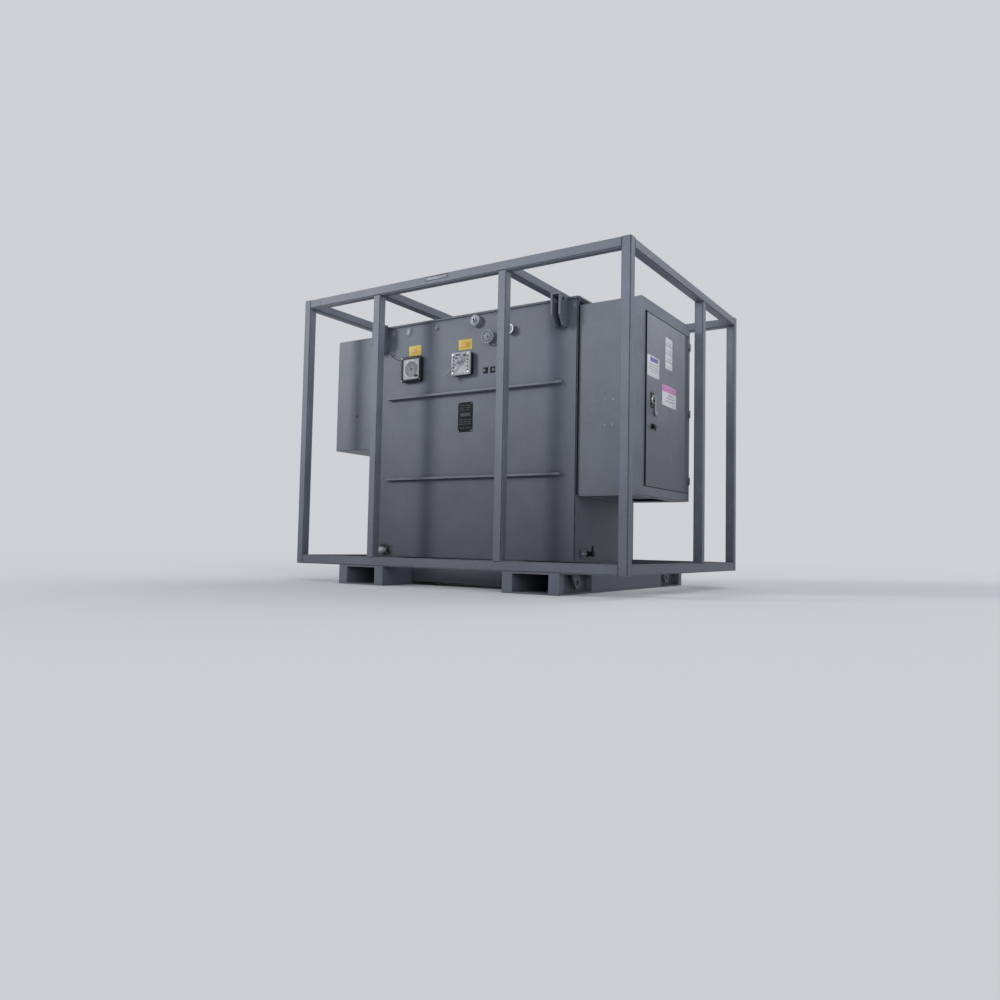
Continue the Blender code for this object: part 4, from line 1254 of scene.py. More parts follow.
# %% Fill valve and its handwheel
FILL_FLANGE_RADIUS = 0.042
FILL_BOLT_CIRCLE = 0.036
FILL_PROFILE = ((0.030, 0.012), (0.028, 0.030), (0.036, 0.034), (0.036, 0.046), (0.026, 0.050),
                (0.012, 0.052))
FILL_STEM = ((0.012, 0.002), (0.008, 0.0))
WHEEL_RADIUS = 0.052
WHEEL_RIM_RADIUS = 0.0075
WHEEL_DROP = 0.018
SPOKES = 3
SPOKE_START = math.radians(45)
SPOKE_RADIUS = 0.0048
SPOKE_REACH = (0.008, 0.050)
SPOKE_RISE = 0.003
WHEEL_HUB = ((0.014, 0.0), (0.014, 0.012), (0.010, 0.016))
WHEEL_HUB_DROP = 0.006
VALVE_BOLT = (0.0055, 0.005)
matrix, _, depth = node_frame("fill_valve")
bm = bmesh.new()
add_flange(bm, matrix, FILL_FLANGE_RADIUS)
add_turned(bm, matrix, [*FILL_PROFILE, *((radius, depth - drop) for radius, drop in FILL_STEM)])
valve = keep_piece("fill_valve_body", bm, cast_grey)
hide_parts("fill_valve")
valve_bolts += on_circle(matrix, FILL_BOLT_CIRCLE, VALVE_FLANGE, VALVE_BOLTS)

bm = bmesh.new()
wheel_level = depth - WHEEL_DROP
add_ring(bm, matrix, WHEEL_RADIUS, WHEEL_RIM_RADIUS, wheel_level)
for spoke in range(SPOKES):
    angle = SPOKE_START + math.tau * spoke / SPOKES
    out = Vector((math.cos(angle), math.sin(angle), 0))
    hub_point = matrix @ (out * SPOKE_REACH[0] + Vector((0, 0, wheel_level + SPOKE_RISE)))
    rim_point = matrix @ (out * SPOKE_REACH[1] + Vector((0, 0, wheel_level)))
    add_pipe(bm, [hub_point, (hub_point + rim_point) / 2, rim_point], SPOKE_RADIUS)
add_turned(bm, shifted(matrix, 0, 0, wheel_level - WHEEL_HUB_DROP), WHEEL_HUB, 20)
keep_piece("fill_valve_handwheel", bm, cast_grey)
add_fasteners("valve_bolts", valve_bolts, *VALVE_BOLT, zinc)
print("valve bolts:", len(valve_bolts))

# %% Vacuum gauge
VACUUM_RADIUS = 0.040
VACUUM_NECK = ((0.024, 0.0), (0.024, 0.010), (0.016, 0.012), (0.016, 0.022), (0.030, 0.024), (0.036, 0.027),
               (0.040, 0.031))
VACUUM_RIM = ((0.0, 0.003), (0.002, 0.0), (0.006, 0.0), (0.007, 0.007))
VACUUM_FACE_DROP = 0.007
VACUUM_DIAL = (0.0075, 0.0068, 0.0055)
VACUUM_TICKS = 11
VACUUM_TICK = (0.006, 0.0011)
VACUUM_TICK_MIDDLE = 0.031
VACUUM_MARK_DROP = 0.0056
VACUUM_NEEDLE = (0.034, 0.0018, 0.0008, 0.0004)
VACUUM_NEEDLE_ANGLE = math.radians(205)
VACUUM_NEEDLE_MIDDLE = 0.010
VACUUM_NEEDLE_DROP = 0.0048
VACUUM_HUB = ((0.004, 0.0), (0.004, 0.002))
matrix, _, depth = node_frame("vacuum_gauge")
bm = bmesh.new()
rim = [(VACUUM_RADIUS - inset, depth - drop) for inset, drop in VACUUM_RIM]
add_turned(bm, matrix, [*VACUUM_NECK, *rim, (0.0, depth - VACUUM_FACE_DROP)], FINE_STEPS)
body = keep_piece("vacuum_gauge_case", bm, zinc)
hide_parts("vacuum_gauge")

bm = bmesh.new()
inset, bottom, top = VACUUM_DIAL
dial_radius = VACUUM_RADIUS - inset
add_turned(bm, matrix, [(dial_radius, depth - bottom), (dial_radius, depth - top)], FINE_STEPS)
keep_piece("vacuum_gauge_dial", bm, dial_grey)

bm = bmesh.new()
for tick in range(VACUUM_TICKS):
    angle = FIRST_TICK - TICK_SWEEP * tick / (VACUUM_TICKS - 1)
    add_mark(bm, matrix, angle, VACUUM_TICK_MIDDLE, depth - VACUUM_MARK_DROP, *VACUUM_TICK)
add_mark(bm, matrix, VACUUM_NEEDLE_ANGLE, VACUUM_NEEDLE_MIDDLE, depth - VACUUM_NEEDLE_DROP, *VACUUM_NEEDLE)
add_turned(bm, shifted(matrix, 0, 0, depth - VACUUM_MARK_DROP), VACUUM_HUB, 16)
keep_piece("vacuum_gauge_marks", bm, print_black)
print("vacuum gauge depth:", round(depth, 3))

# %% Drain valve
DRAIN_FLANGE_RADIUS = 0.045
DRAIN_FLANGE = 0.010
DRAIN_GAP = 0.0002
DRAIN_PROFILE = ((0.022, 0.034), (0.030, 0.038), (0.030, 0.058), (0.024, 0.062))
DRAIN_FOOT_RADIUS = 0.024
DRAIN_END = ((0.018, 0.004), (0.014, 0.0))
DRAIN_SIDES = 8
DRAIN_STEM_HEIGHTS = (0.020, 0.036, 0.050)
DRAIN_STEM_LEVEL = 0.048
DRAIN_STEM_RADIUS = 0.007
DRAIN_LEVER_PLACE = (0.018, 0.052, 0.044)
DRAIN_LEVER_SIZE = (0.070, 0.012, 0.006, 0.004)
DRAIN_BOLT_CIRCLE = 0.037
DRAIN_BOLT = (0.005, 0.005)
DRAIN_BOLTS = 4
matrix, _, depth = node_frame("drain_valve")
bm = bmesh.new()
add_flange(bm, matrix, DRAIN_FLANGE_RADIUS, DRAIN_FLANGE)
keep_piece("drain_valve_flange", bm, black_enamel)

bm = bmesh.new()
end = [(radius, depth - drop) for radius, drop in DRAIN_END]
add_turned(bm, matrix, [(DRAIN_FOOT_RADIUS, DRAIN_FLANGE + DRAIN_GAP), *DRAIN_PROFILE, *end], DRAIN_SIDES)
body = keep_piece("drain_valve_body", bm, pale_casting)
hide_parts("drain_valve")

bm = bmesh.new()
stem = [matrix @ Vector((0, height, DRAIN_STEM_LEVEL)) for height in DRAIN_STEM_HEIGHTS]
add_pipe(bm, stem, DRAIN_STEM_RADIUS, 12)
add_plate(bm, shifted(matrix, *DRAIN_LEVER_PLACE), *DRAIN_LEVER_SIZE)
keep_piece("drain_valve_lever", bm, black_enamel)
drain_bolts = on_circle(matrix, DRAIN_BOLT_CIRCLE, DRAIN_FLANGE, DRAIN_BOLTS)
add_fasteners("drain_valve_bolts", drain_bolts, *DRAIN_BOLT, zinc)
print("drain valve depth:", round(depth, 3))

# %% [markdown]
# ## Weld beads
#
# The frame, the tank and the lugs are held by weld beads: a row of small overlapping
# ripples along each joint. A plain tube along the joint would look like sealant. A
# Geometry Nodes tree follows the edges of a mesh, places a small ripple every few
# millimetres, turned along the joint and varied a little in size, and joins them.

# %% Build the weld tree
RIPPLE_LEAST = (0.85, 0.85, 0.75)
RIPPLE_MOST = (1.15, 1.15, 0.95)
FACES_PER_RIPPLE = 20
BEAD_PITCH = 0.0062
weld_tree, source, sink = new_group(
    "weld_bead", "GeometryNodeTree",
    {"Geometry": (SHAPE, None), "Radius": (NUMBER, 0.004), "Pitch": (NUMBER, 0.006), "Seed": (WHOLE, 5),
     "Material": (FINISH, None)},
    {"Geometry": SHAPE})
get = source.outputs
line = add_node(weld_tree, "GeometryNodeMeshToCurve", None, {"Mesh": get["Geometry"]})
spots = add_node(weld_tree, "GeometryNodeCurveToPoints", {"mode": "LENGTH"},
                 {"Curve": line.outputs[0], "Length": get["Pitch"]})
ripple = add_node(weld_tree, "GeometryNodeMeshIcoSphere", None, {"Radius": get["Radius"], "Subdivisions": 1})
growth = add_node(weld_tree, "FunctionNodeRandomValue", {"data_type": "FLOAT_VECTOR"},
                  {0: RIPPLE_LEAST, 1: RIPPLE_MOST, "Seed": get["Seed"]})
copies = add_node(weld_tree, "GeometryNodeInstanceOnPoints", None,
                  {"Points": spots.outputs["Points"], "Instance": ripple.outputs[0],
                   "Rotation": spots.outputs["Rotation"], "Scale": growth.outputs[0]})
finish_tree(weld_tree, copies, get["Material"], sink)


def add_seam(bm, points, closed=False):
    """Add a joint to be welded, as a chain of edges."""
    verts = [bm.verts.new(point) for point in points]
    for first, second in zip(verts, verts[1:]):
        bm.edges.new((first, second))
    if closed:
        bm.edges.new((verts[-1], verts[0]))


def weld(name, bm, radius, material):
    """Run the weld tree along the seams of a bmesh."""
    values = {"Radius": radius, "Pitch": BEAD_PITCH, "Material": material}
    piece = grow(name, bm, weld_tree, values)
    piece.data.shade_smooth()
    print(name, "ripples:", len(piece.data.polygons) // FACES_PER_RIPPLE)


print("nodes in the weld tree:", len(weld_tree.nodes))

# %% Weld the ends of the frame's tubes
TUBE_RADIUS = 0.008
TUBE_BEAD = 0.0042
BEAD_SINK_SHARE = 0.45
CORNER_STEPS = 3
AXES = (Vector((1, 0, 0)), Vector((0, 1, 0)), Vector((0, 0, 1)))


def tube_end_ring(node, end):
    """The outline of a square tube at its low (0) or high (1) end."""
    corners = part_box(node)
    low, high = corners
    axis = max(range(3), key=lambda i: high[i] - low[i])
    other = (axis + 1) % 3
    centre = (low + high) / 2
    centre[axis] = corners[end][axis]
    matrix = wall_frame(centre, AXES[axis], AXES[other])
    side = high[other] - low[other] - 2 * TUBE_BEAD * BEAD_SINK_SHARE
    return [matrix @ Vector(point) for point in rectangle(side, side, TUBE_RADIUS, 0.0, steps=CORNER_STEPS)]


bm = bmesh.new()
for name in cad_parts:
    if "_rail_" in name or "_mid_post_" in name or "cross_tube" in name:
        for end in (0, 1):
            add_seam(bm, tube_end_ring(name, end), closed=True)
weld("frame_welds", bm, TUBE_BEAD, frame_paint)

# %% Weld the skid to the bottom rails
SKID_BEAD = 0.0050
bm = bmesh.new()
for side in ("left", "right"):
    low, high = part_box("fork_pocket_" + side)
    for rail in ("bottom_rail_front", "bottom_rail_back"):
        rail_low, rail_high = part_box(rail)
        y = rail_high.y if rail.endswith("front") else rail_low.y
        add_seam(bm, [(low.x + TUBE_BEAD, y, rail_low.z), (high.x - TUBE_BEAD, y, rail_low.z)])
    for beam in ("skid_beam_front", "skid_beam_back"):
        beam_low, beam_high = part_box(beam)
        x = low.x if side == "right" else high.x
        add_seam(bm, [(x, beam_low.y, beam_high.z), (x, beam_low.y, beam_low.z),
                      (x, beam_high.y, beam_low.z), (x, beam_high.y, beam_high.z)])
weld("skid_welds", bm, SKID_BEAD, frame_paint)

# %% Weld the tank, its ribs and its lugs
TANK_CORNER = 0.012
SEAM_BEAD = 0.0040
LID_SEAM_DROP = 0.002
FLOOR_SEAM_RISE = 0.003
LUG_CHEEK = 0.016
LUG_SEAM_RISE = 0.002
LUG_SEAM_DROP = 0.004
tank_size = tank_high - tank_low
tank_centre = (tank_low + tank_high) / 2
bm = bmesh.new()
floor_matrix = Matrix.Translation((tank_centre.x, tank_centre.y, 0))
for z in (tank_high.z - LID_SEAM_DROP, tank_low.z + FLOOR_SEAM_RISE):
    ring = rectangle(tank_size.x, tank_size.y, TANK_CORNER, z, steps=CORNER_STEPS)
    add_seam(bm, [floor_matrix @ Vector(point) for point in ring], closed=True)
for node in ("tank_rib_upper", "tank_rib_lower"):
    low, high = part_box(node)
    ring = [(low.x, high.y, low.z), (high.x, high.y, low.z),
            (high.x, high.y, high.z), (low.x, high.y, high.z)]
    add_seam(bm, ring, closed=True)
for end in ("front", "back"):
    for side in ("left", "right"):
        low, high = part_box(f"lifting_lug_{end}_{side}")
        wall = high.y if end == "front" else low.y
        for x in (low.x, low.x + LUG_CHEEK, high.x - LUG_CHEEK, high.x):
            add_seam(bm, [(x, wall, low.z + LUG_SEAM_RISE), (x, wall, tank_high.z - LUG_SEAM_DROP)])
weld("tank_welds", bm, SEAM_BEAD, tank_paint)

# %% Weld the cabinets to the tank's ends
CABINET_BEAD = 0.0034
LEFT_WELD_INSET = 0.004


def cabinet_outline(low, high, x, inset=0.0):
    """Where a cabinet's edges meet the tank's end, from its front foot round to its back foot."""
    front = low.y + inset
    back = min(high.y, TANK_BACK)
    return [(x, front, low.z), (x, front, high.z), (x, back, high.z), (x, back, low.z)]


bm = bmesh.new()
add_seam(bm, cabinet_outline(wrap_low, wrap_high, wrap_low.x)[1:])
add_seam(bm, cabinet_outline(left_low, left_high, left_high.x, LEFT_WELD_INSET), closed=True)
weld("cabinet_welds", bm, CABINET_BEAD, cabinet_paint)

# %% [markdown]
# ## Plates on the tank
#
# Plates of printed or engraved metal are riveted to the tank wall. Real ones carry print,
# which this part leaves off: the yellow plates are plain and the nameplate has empty
# fields, but their rivets, rims and thickness are there. A raised field is a second,
# thinner plate that starts just under the first one's face, so the two don't flicker.

# %% Yellow plates
YELLOW_PLATES = {
    "gauge": {"place": (-0.6025, 2.040), "size": (0.135, 0.090)},
    "switch": {"place": (-0.061, 2.0305), "size": (0.138, 0.090)},
}
YELLOW_THICKNESS = 0.0016
YELLOW_CORNER = 0.010
FIELD_SIZE_SHARES = (0.62, 0.50)
FIELD_SIZE = {"thickness": 0.0005, "radius": 0.006, "start": 0.0014}
YELLOW_RIVET_SHARES = (0.455, 0.44)


def tank_wall(x, z):
    """The wall frame at a point of the tank front."""
    return wall_frame((x, TANK_FRONT, z))


plates = bmesh.new()
fields = bmesh.new()
rivets = []
for plate in YELLOW_PLATES.values():
    matrix = tank_wall(*plate["place"])
    width, height = plate["size"]
    add_plate(plates, matrix, width, height, YELLOW_THICKNESS, YELLOW_CORNER)
    add_plate(fields, matrix, width * FIELD_SIZE_SHARES[0], height * FIELD_SIZE_SHARES[1], **FIELD_SIZE)
    across, along = YELLOW_RIVET_SHARES
    rivets += four_corners(matrix, width * across, height * along, YELLOW_THICKNESS)
keep_piece("yellow_plates", plates, plate_yellow)
keep_piece("yellow_plate_fields", fields, plate_amber)
print("yellow plates:", len(YELLOW_PLATES))

# %% Nameplate with empty fields
NAMEPLATE_PLACE = (-0.046, 1.416)
NAMEPLATE_SIZE = (0.150, 0.250)
NAMEPLATE_THICKNESS = 0.0022
NAMEPLATE_CORNER = 0.010
NAMEPLATE_RIVET_SHARES = (0.44, 0.46)
RIVET = (0.0030, 0.0016)
FIELD_ROWS = ((0.098, 2), (0.078, 2), (0.060, 2), (0.020, 1), (-0.022, 3), (-0.040, 3), (-0.058, 3),
              (-0.092, 2))
ROW_WIDTH_SHARE = 0.84
FIELD_WIDTH_SHARE = 0.80
FIELD_HEIGHT = 0.006
TALL_FIELD_HEIGHT = 0.026
FIELD_PRINT = {"thickness": 0.0004, "radius": 0.001, "start": 0.0021}
width, height = NAMEPLATE_SIZE
matrix = tank_wall(*NAMEPLATE_PLACE)
bm = bmesh.new()
add_plate(bm, matrix, width, height, NAMEPLATE_THICKNESS, NAMEPLATE_CORNER)
keep_piece("nameplate", bm, plate_dark)
across, along = NAMEPLATE_RIVET_SHARES
rivets += four_corners(matrix, width * across, height * along, NAMEPLATE_THICKNESS)

bm = bmesh.new()
for level, count in FIELD_ROWS:
    pitch = width * ROW_WIDTH_SHARE / count
    tall = TALL_FIELD_HEIGHT if count == 1 else FIELD_HEIGHT
    for number in range(count):
        x = (number - (count - 1) / 2) * pitch
        add_plate(bm, matrix, pitch * FIELD_WIDTH_SHARE, tall, centre=(x, level), **FIELD_PRINT)
keep_piece("nameplate_fields", bm, plate_print)
add_fasteners("plate_rivets", rivets, *RIVET, zinc, **RIVET_HEAD)
print("rivets:", len(rivets))

# %% Two small marker plates
MARKERS = ({"x": 0.148, "face_aside": -0.010}, {"x": 0.218, "face_aside": 0.008})
MARKER_Z = 1.790
MARKER_SIZE = (0.048, 0.052, 0.0020, 0.004)
MARKER_FACE_SIZE = (0.020, 0.026, 0.0008, 0.003)
MARKER_FACE_START = 0.0018
plates = bmesh.new()
faces = bmesh.new()
for marker in MARKERS:
    add_plate(plates, tank_wall(marker["x"], MARKER_Z), *MARKER_SIZE)
    add_plate(faces, tank_wall(marker["x"] + marker["face_aside"], MARKER_Z), *MARKER_FACE_SIZE,
              start=MARKER_FACE_START)
keep_piece("marker_plates", plates, plate_dark)
keep_piece("marker_faces", faces, tank_paint)
print("marker plates:", len(MARKERS))

# %% [markdown]
# ## Plugs, thermometer well and capillary
#
# A plug and a boss close openings near the top of the tank. The gauge feels the oil
# through a capillary, a thin tube that leaves a gland in the gauge's side and ends in the
# well. It is stiff wire-like tube, so one cubic curve with four guide points gives its
# bend, and its length is printed.

# %% Plug and bosses
PLUG_PLACE = (-0.365, 2.212)
PLUG_SEAT = ((0.020, 0.0), (0.020, 0.006), (0.018, 0.008), (0.014, 0.008))
PLUG_HEAD = ((0.0125, 0.006), (0.0125, 0.016), (0.010, 0.018))
BOSS_PLACE = (-0.676, 2.214)
BOSS_PROFILE = ((0.035, 0.0), (0.035, 0.005), (0.030, 0.008), (0.020, 0.008), (0.018, 0.014), (0.0, 0.014))
WELL_PLACE = (-0.862, 2.036)
WELL_SEAT = ((0.024, 0.0), (0.024, 0.006), (0.022, 0.008), (0.015, 0.008))
WELL_HEAD = ((0.014, 0.006), (0.014, 0.018), (0.012, 0.020))
WELL_DEPTH = 0.030
WELL_TIP = ((0.008, 0.018), (0.008, WELL_DEPTH), (0.0055, WELL_DEPTH + 0.004))
bm = bmesh.new()
add_turned(bm, tank_wall(*PLUG_PLACE), PLUG_SEAT)
add_turned(bm, tank_wall(*PLUG_PLACE), PLUG_HEAD, HEXAGON)
keep_piece("tank_plug", bm, cast_grey)

bm = bmesh.new()
add_turned(bm, tank_wall(*BOSS_PLACE), BOSS_PROFILE)
for profile, steps in ((WELL_SEAT, 32), (WELL_HEAD, HEXAGON), (WELL_TIP, 16)):
    add_turned(bm, tank_wall(*WELL_PLACE), profile, steps)
keep_piece("tank_bosses", bm, cast_grey)
print("thermometer well at x =", WELL_PLACE[0])

# %% Capillary tube and its gland
CAPILLARY_RADIUS = 0.0028
CAPILLARY_STEPS = 40
CAPILLARY_OUT = 0.028
CAPILLARY_EXIT_Z = 1.945
EXIT_REACH = 0.012
EXIT_SINK = 0.002
WELL_OVERLAP = 0.002
EXIT_PULL = (-0.070, 0.006, 0.030)
WELL_PULL = (0.030, -0.050, -0.018)
GLAND_START = 0.004
GLAND_NUT = ((0.013, 0.0), (0.013, 0.012), (0.011, 0.014))
GLAND_SLEEVE = ((0.009, 0.012), (0.009, 0.022), (0.006, 0.026))
gauge_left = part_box("temperature_gauge")[0].x
gauge_exit = Vector((gauge_left - EXIT_REACH, TANK_FRONT - CAPILLARY_OUT, CAPILLARY_EXIT_Z))
well_end = Vector((WELL_PLACE[0], TANK_FRONT - WELL_DEPTH - WELL_OVERLAP, WELL_PLACE[1]))
guides = (Vector((gauge_left + EXIT_SINK, gauge_exit.y, gauge_exit.z)), gauge_exit + Vector(EXIT_PULL),
          well_end + Vector(WELL_PULL), well_end)
points = []
for step in range(CAPILLARY_STEPS + 1):
    t = step / CAPILLARY_STEPS
    weights = ((1 - t) ** 3, 3 * t * (1 - t) ** 2, 3 * t * t * (1 - t), t ** 3)
    points.append(sum((guide * weight for guide, weight in zip(guides, weights)), Vector()))
bm = bmesh.new()
add_pipe(bm, points, CAPILLARY_RADIUS)
keep_piece("gauge_capillary", bm, plate_dark)

bm = bmesh.new()
gland = wall_frame((gauge_left + GLAND_START, gauge_exit.y, gauge_exit.z), OUT_LEFT)
add_turned(bm, gland, GLAND_NUT, HEXAGON)
add_turned(bm, gland, GLAND_SLEEVE, 20)
keep_piece("gauge_gland", bm, cast_grey)
print("capillary length:", round(sum((b - a).length for a, b in zip(points, points[1:])), 3))

# %% [markdown]
# ## Fittings on the tank's right wall and on the top rail
#
# Under the cabinet the tank has a ground pad with two bolts and a small cock beside it.
# A long plate with a plain face is fixed to the front top rail. They are the same kinds of
# shape as above, on other walls.

# %% Ground pad and sampling cock
GROUND_PAD_PLACE = (-0.720, 0.300)
GROUND_PAD_SIZE = (0.090, 0.060, 0.012, 0.004)
PAD_BOLT_ASIDE = 0.022
PAD_BOLT = (0.0085, 0.008)
COCK_ASIDE = 0.078
COCK_PROFILE = ((0.024, 0.0), (0.024, 0.010), (0.016, 0.012), (0.016, 0.034), (0.022, 0.036), (0.022, 0.056),
                (0.016, 0.060))
COCK_HANDLE = ((0, -0.002, 0.046), (0, 0.032, 0.046), (0, 0.060, 0.048))
COCK_HANDLE_RADIUS = 0.009
matrix = wall_frame((tank_high.x, *GROUND_PAD_PLACE), OUT_RIGHT)
bm = bmesh.new()
add_plate(bm, matrix, *GROUND_PAD_SIZE)
keep_piece("ground_pad", bm, tank_paint)
pad_bolts = [(matrix @ Vector((side * PAD_BOLT_ASIDE, 0.0, GROUND_PAD_SIZE[2])), OUT_RIGHT)
             for side in (-1, 1)]
add_fasteners("ground_pad_bolts", pad_bolts, *PAD_BOLT, cast_grey)

bm = bmesh.new()
cock = wall_frame((tank_high.x, GROUND_PAD_PLACE[0] + COCK_ASIDE, GROUND_PAD_PLACE[1]), OUT_RIGHT)
add_turned(bm, cock, COCK_PROFILE, 20)
add_pipe(bm, [cock @ Vector(point) for point in COCK_HANDLE], COCK_HANDLE_RADIUS, 12)
keep_piece("sampling_cock", bm, plate_dark)
print("ground pad bolts:", len(pad_bolts))

# %% Blank plate on the front top rail
RAIL_PLATE_X = -0.095
RAIL_PLATE_SIZE = (0.225, 0.032)
RAIL_PLATE_DROP = 0.026
RAIL_PLATE_RIM = 0.004
rail_low, rail_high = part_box("top_rail_front")
matrix = wall_frame((RAIL_PLATE_X, rail_low.y, rail_high.z - RAIL_PLATE_DROP))
bm = bmesh.new()
add_plate(bm, matrix, *RAIL_PLATE_SIZE, 0.0010, 0.003)
keep_piece("rail_plate", bm, plate_dark)
bm = bmesh.new()
face_size = [side - 2 * RAIL_PLATE_RIM for side in RAIL_PLATE_SIZE]
add_plate(bm, matrix, *face_size, 0.0006, 0.002, start=0.0008)
keep_piece("rail_plate_face", bm, cast_grey)
print("rail plate:", RAIL_PLATE_SIZE)

# %% [markdown]
# ## Latch and padlock
#
# The cabinet door has a latch with a hanging lever, a bolt below it and a padlock eye.
# What moves with the door rides on the door's body and the lever rides on its own, so
# both still fit when the joints turn. The lever's grip is a loft of flattened ovals,
# because a plain bar has no waist for the fingers.

# %% Latch plate and collar
LATCH_Y = -0.610
LATCH_Z = 1.4726
LATCH_SIZE = (0.066, 0.118)
LATCH_CORNER = 0.008
LEVER_GAP = 0.0005
PLATE_SINK = 0.0003
COLLAR_STEPS = 40
COLLAR_RADIUS = 0.022
COLLAR_PROFILE = ((0.0, 0.0), (0.0, 0.009), (0.002, 0.0105), (0.009, 0.0105), (0.011, 0.008), (0.012, 0.0))


def door_wall(y, z):
    """The wall frame at a point of the door's face."""
    return wall_frame((DOOR_FACE, y, z), OUT_RIGHT)


handle_low, handle_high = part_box("door_handle")
latch_level = handle_low.x - DOOR_FACE - LEVER_GAP
latch = door_wall(LATCH_Y, LATCH_Z)
bm = bmesh.new()
add_plate(bm, latch, *LATCH_SIZE, latch_level + PLATE_SINK, LATCH_CORNER)
keep_piece("latch_plate", bm, black_enamel, DOOR)
bm = bmesh.new()
add_closed_loft(bm, latch, [circle(COLLAR_RADIUS + out, COLLAR_STEPS, latch_level + up)
                            for out, up in COLLAR_PROFILE])
keep_piece("latch_collar", bm, zinc, DOOR)
print("latch plate stands", round(latch_level, 4), "m out of the door")

# %% Door lever
BOSS_RADIUS = 0.016
BOSS_EDGE = 0.003
BOSS_RIM_DROP = 0.0005
BOSS_DISH = ((0.006, 0.0005), (0.005, 0.003), (0.0, 0.003))
GRIP_SHARES = (0.0, 0.10, 0.30, 0.55, 0.80, 0.92, 1.0)
GRIP_TOP = 0.006
GRIP_LENGTH = 0.116
GRIP_WIDTH = 0.020
WAIST_DEPTH = 0.0048
WAIST_STRETCH = 1.15
GRIP_HALF_THICKNESS = 0.0060
GRIP_DROP = 0.0062
END_SHRINK = 0.003
END_SHARE = 0.05
GRIP_STEPS = 16
OVAL_POWER = 0.6


def flat_oval(half_width, half_thickness, y, z):
    """A ring of points round a flattened oval across the lever."""
    ring = []
    for step in range(GRIP_STEPS):
        angle = 2 * math.pi * step / GRIP_STEPS
        across = math.copysign(abs(math.cos(angle)) ** OVAL_POWER, math.cos(angle)) * half_width
        along = math.copysign(abs(math.sin(angle)) ** OVAL_POWER, math.sin(angle)) * half_thickness
        ring.append((across, y, z + along))
    return ring


out = handle_high.x - handle_low.x
boss = wall_frame((handle_low.x, LATCH_Y, LATCH_Z), OUT_RIGHT)
bm = bmesh.new()
dish = [(radius, out - drop) for radius, drop in BOSS_DISH]
add_turned(bm, boss, [(BOSS_RADIUS, 0.0), (BOSS_RADIUS, out - BOSS_EDGE),
                      (BOSS_RADIUS - BOSS_EDGE, out - BOSS_RIM_DROP), *dish], 36)
grip_rings = []
for share in GRIP_SHARES:
    shrink = 0.0 if END_SHARE < share < 1 - END_SHARE else END_SHRINK
    waist = WAIST_DEPTH * math.sin(math.pi * min(1.0, share * WAIST_STRETCH))
    half_width = (GRIP_WIDTH - waist) / 2 - shrink
    half_thickness = GRIP_HALF_THICKNESS - shrink / 2
    grip_rings.append(flat_oval(half_width, half_thickness, GRIP_TOP - GRIP_LENGTH * share, out - GRIP_DROP))
add_loft(bm, boss, grip_rings)
lever = keep_piece("door_lever", bm, brushed_steel, HANDLE)
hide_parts("door_handle")
print("lever from x =", round(handle_low.x, 4), "to", round(handle_high.x, 4))

# %% Bolt below the latch, and the latch's screws
LOCK_Z = 1.2706
LOCK_PROFILE = ((0.024, 0.0), (0.024, 0.002), (0.022, 0.004), (0.018, 0.004), (0.018, 0.022), (0.016, 0.024),
                (0.0, 0.024))
LOCK_BAR = {"width": 0.052, "height": 0.013, "thickness": 0.008, "radius": 0.004}
LOCK_TAIL = {"width": 0.014, "height": 0.044, "thickness": 0.007, "radius": 0.004, "centre": (0.0, -0.014)}
LOCK_BAR_START = 0.0235
LATCH_SCREW_PLACE = (0.025, 0.050)
LATCH_SCREW = (0.0040, 0.0022)
bm = bmesh.new()
matrix = door_wall(LATCH_Y, LOCK_Z)
add_turned(bm, matrix, LOCK_PROFILE)
for bar in (LOCK_BAR, LOCK_TAIL):
    add_plate(bm, matrix, start=LOCK_BAR_START, **bar)
keep_piece("door_lock", bm, black_enamel, DOOR)
latch_screws = four_corners(latch, *LATCH_SCREW_PLACE, latch_level, OUT_RIGHT)
add_fasteners("latch_screws", latch_screws, *LATCH_SCREW, zinc, DOOR, **ROUND_HEAD)
print("latch screws:", len(latch_screws))

# %% Padlock on the latch's eye
EYE_Y = -0.552
EYE_Z = 1.446
EYE_PLATE_ASIDE = 0.012
EYE_PLATE_SIZE = (0.034, 0.018, 0.0035, 0.006)
SHACKLE_OUT = 0.0085
SHACKLE_RADIUS = 0.0028
SHACKLE_HALF = 0.0100
SHACKLE_STEPS = 12
SHACKLE_LEG = Vector((0, 0, 0.052))
PADLOCK_DROP = 0.069
PADLOCK_SIZE = (0.036, 0.034, 0.006)
PADLOCK_PROFILE = ((0.002, 0.0015), (0.0, 0.0035), (0.0, 0.0135), (0.002, 0.0155))
bm = bmesh.new()
add_plate(bm, door_wall(EYE_Y - EYE_PLATE_ASIDE, EYE_Z), *EYE_PLATE_SIZE)
bow = []
for step in range(SHACKLE_STEPS + 1):
    angle = math.pi * step / SHACKLE_STEPS
    y = EYE_Y + SHACKLE_HALF * math.cos(angle)
    z = EYE_Z + SHACKLE_HALF * math.sin(angle)
    bow.append(Vector((DOOR_FACE + SHACKLE_OUT, y, z)))
add_pipe(bm, [bow[0] - SHACKLE_LEG, *bow, bow[-1] - SHACKLE_LEG], SHACKLE_RADIUS, 12)
keep_piece("padlock_shackle", bm, brushed_steel, DOOR)
bm = bmesh.new()
add_housing(bm, door_wall(EYE_Y, EYE_Z - PADLOCK_DROP), *PADLOCK_SIZE, PADLOCK_PROFILE)
keep_piece("padlock_body", bm, cast_grey, DOOR)
print("padlock hangs at y =", EYE_Y)

